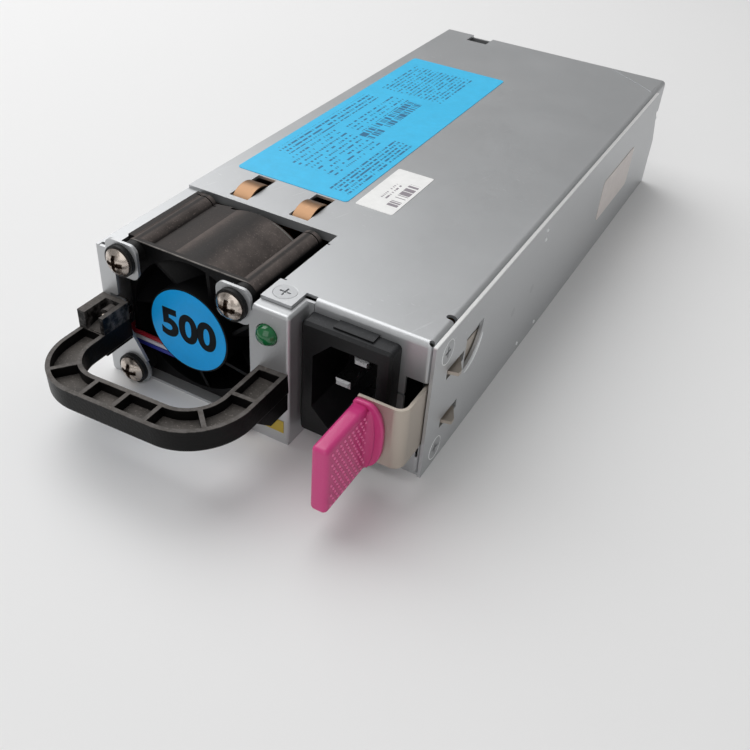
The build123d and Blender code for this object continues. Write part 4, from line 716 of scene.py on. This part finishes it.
def grip_dot_places(rows=11, columns=9):
    """Centres of the raised dots on the blade's right face: every other row is half a pitch aside."""
    pitch, row_pitch = 1.62 * MM, 1.47 * MM
    first_y, first_z = -18.7 * MM, 9.3 * MM
    row, column = np.indices((rows, columns))
    y = FRONT + first_y + (column + (row % 2) / 2) * pitch
    z = first_z + row * row_pitch
    return np.stack([GRIP_RIGHT + 0 * y, y, z], axis=-1).reshape(-1, 3)


for piece_name, grip_mesh in (("grip_blade", grip_blade()), ("grip_plate", grip_plate()),
                              ("grip_fillet", grip_fillet()), ("grip_clamp", grip_clamp())):
    smooth_faces(grip_mesh)
    piece = place_piece(piece_name, grip_mesh, "magenta_plastic", "release_latch")
    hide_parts("latch_grip")
# Raised dots coloured lighter than the grip: a painted highlight on their tops.
place_piece("grip_dots", dome_field(grip_dot_places(), ACROSS, ALONG, radius=0.38 * MM, height=0.30 * MM),
            "grip_dot_plastic", "release_latch")


# Thin trim on the case and the fan; the beads, rings and dots in near-white metal and the tube's rim bead in
# lighter plastic are painted highlights; y is counted from the front
def wall_place(y, z):
    """A place on the outside of the right wall."""
    return WALL_FACE, FRONT + y * MM, z * MM


WINDOW_PLACE = wall_place(25.4, 30.2)
WALL_SCREWS = (("upper", wall_place(14.4, 33.0)), ("lower", wall_place(14.4, 4.4)))
DIMPLES = [wall_place(75.3, 32.0), wall_place(75.3, 34.8), wall_place(67.0, 2.6), wall_place(80.4, 2.2)]
CREASE_FIRST = (22.8 * MM, FRONT + 194.8 * MM)
CREASE_LAST = (40.7 * MM, FRONT + 181.9 * MM)
COVER_CORNER = (40.7 * MM, FRONT + 195.2 * MM)
FLANGE_RIVET = (42.25 * MM, FRONT + 193.6 * MM, 25.4 * MM)
TUBE_REAR = (FAN_X, FRONT + 31.4 * MM, FAN_Z)
HUB_FACE = (FAN_X, FRONT + 2.83 * MM, FAN_Z)

# The window bead's near-white colour is a painted highlight along the window's edge.
place_piece("window_bead",
            arc_bead(WINDOW_PLACE, ALONG, UP, radius=11.2 * MM, first=-84, last=-24,
                     width=0.9 * MM, height=0.32 * MM),
            "bright_rim", "chassis")
place_piece("corner_facet", corner_facet(CREASE_FIRST, CREASE_LAST, COVER_CORNER, rise=0.12 * MM),
            "zinc_sheet", "chassis")
for label, screw_place in WALL_SCREWS:
    place_piece("screw_ring_" + label,
                arc_bead(screw_place, ALONG, UP, radius=3.05 * MM, first=2, last=358,
                         width=0.34 * MM, height=0.10 * MM, rows=60),
                "bright_rim", "chassis")
# A lighter bead along the tube's rear edge: a painted highlight.
place_piece("tube_rim",
            arc_bead(TUBE_REAR, ACROSS, UP, radius=19.05 * MM, first=36, last=74,
                     width=0.45 * MM, height=0.30 * MM),
            "tube_rim_plastic", "chassis")
place_piece("wall_dimples", dome_field(DIMPLES, ACROSS, ALONG, radius=0.62 * MM, height=0.30 * MM),
            "bright_rim", "chassis")
place_piece("flange_rivet",
            dome_field([FLANGE_RIVET], ACROSS, ALONG, radius=0.85 * MM, height=0.5 * MM, sides=20, rings=6),
            "bright_rim", "chassis")
place_piece("hub_number", flat_number("500", size=11.0 * MM, centre=HUB_FACE, thickness=0.02 * MM),
            "number_ink", "chassis")


# Floor, light and camera
def floor_sweep(reach=9.0, bend_start=1.6, bend=0.6, wall_top=2.4, turned=-26):
    """A large level floor that curves up into a backdrop far behind: a quarter circle joins floor and wall.

    Both are flat across, and the whole is turned about the vertical to face the camera.
    """
    angle = np.linspace(0.1, np.pi / 2, 10)
    run = np.concatenate([np.linspace(-reach, bend_start, 6), bend_start + bend * np.sin(angle),
                          [bend_start + bend]])
    rise = np.concatenate([np.zeros(6), bend - bend * np.cos(angle), [wall_top]])
    side = np.linspace(-reach, reach, 4)
    turn = math.radians(turned)
    x = side[None] * math.cos(turn) - run[:, None] * math.sin(turn)
    y = side[None] * math.sin(turn) + run[:, None] * math.cos(turn)
    mesh = grid_mesh(np.stack([x, y, rise[:, None] + 0 * x], axis=-1))
    mesh.name = "floor"
    smooth_faces(mesh)
    material, tree, shader, place = new_material("floor_plain")
    feed(tree, shader, [("Base Color", (0.86, 0.86, 0.86, 1)), ("Roughness", 0.75)])
    mesh.materials.append(material)
    floor = bpy.data.objects.new("floor", mesh)
    bpy.context.scene.collection.objects.link(floor)
    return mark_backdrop(floor)


def soft_lamp(name, place, size, power):
    """A square soft lamp that looks at the origin."""
    lamp = bpy.data.lights.new(name, "AREA")
    lamp.shape = "SQUARE"
    lamp.size = size
    lamp.energy = power
    holder = bpy.data.objects.new(name, lamp)
    bpy.context.scene.collection.objects.link(holder)
    holder.location = place
    holder.rotation_euler = (-Vector(place)).to_track_quat("-Z", "Y").to_euler()


def world_light(strength):
    """An even white surrounding."""
    world = bpy.data.worlds.new("studio")
    world.use_nodes = True
    ground = world.node_tree.nodes["Background"]
    ground.inputs[0].default_value = (1, 1, 1, 1)
    ground.inputs[1].default_value = strength
    bpy.context.scene.world = world


def photo_camera():
    """The camera at the photograph's angle, from its three axes and its place."""
    camera = bpy.data.cameras.new("photo_camera")
    camera.lens = 43.28
    camera.sensor_width = 36.0
    camera.clip_start = 0.005
    holder = bpy.data.objects.new("photo_camera", camera)
    bpy.context.scene.collection.objects.link(holder)
    right = Vector((0.87206, 0.4851, 0.06477))
    down = Vector((0.34894, -0.5235, -0.77729))
    ahead = Vector((-0.34315, 0.70044, -0.6258))
    turn = Matrix((right, -down, -ahead)).transposed()
    holder.matrix_world = Matrix.Translation((0.09844, -0.23144, 0.15112)) @ turn.to_4x4()
    bpy.context.scene.camera = holder


floor_sweep()
world_light(strength=0.30)
soft_lamp("key_lamp", (-0.55, 0.15, 0.85), size=1.1, power=9.0)
soft_lamp("fill_lamp", (0.15, -0.95, 0.6), size=1.0, power=2.7)
photo_camera()
bpy.context.scene.view_settings.view_transform = "Standard"
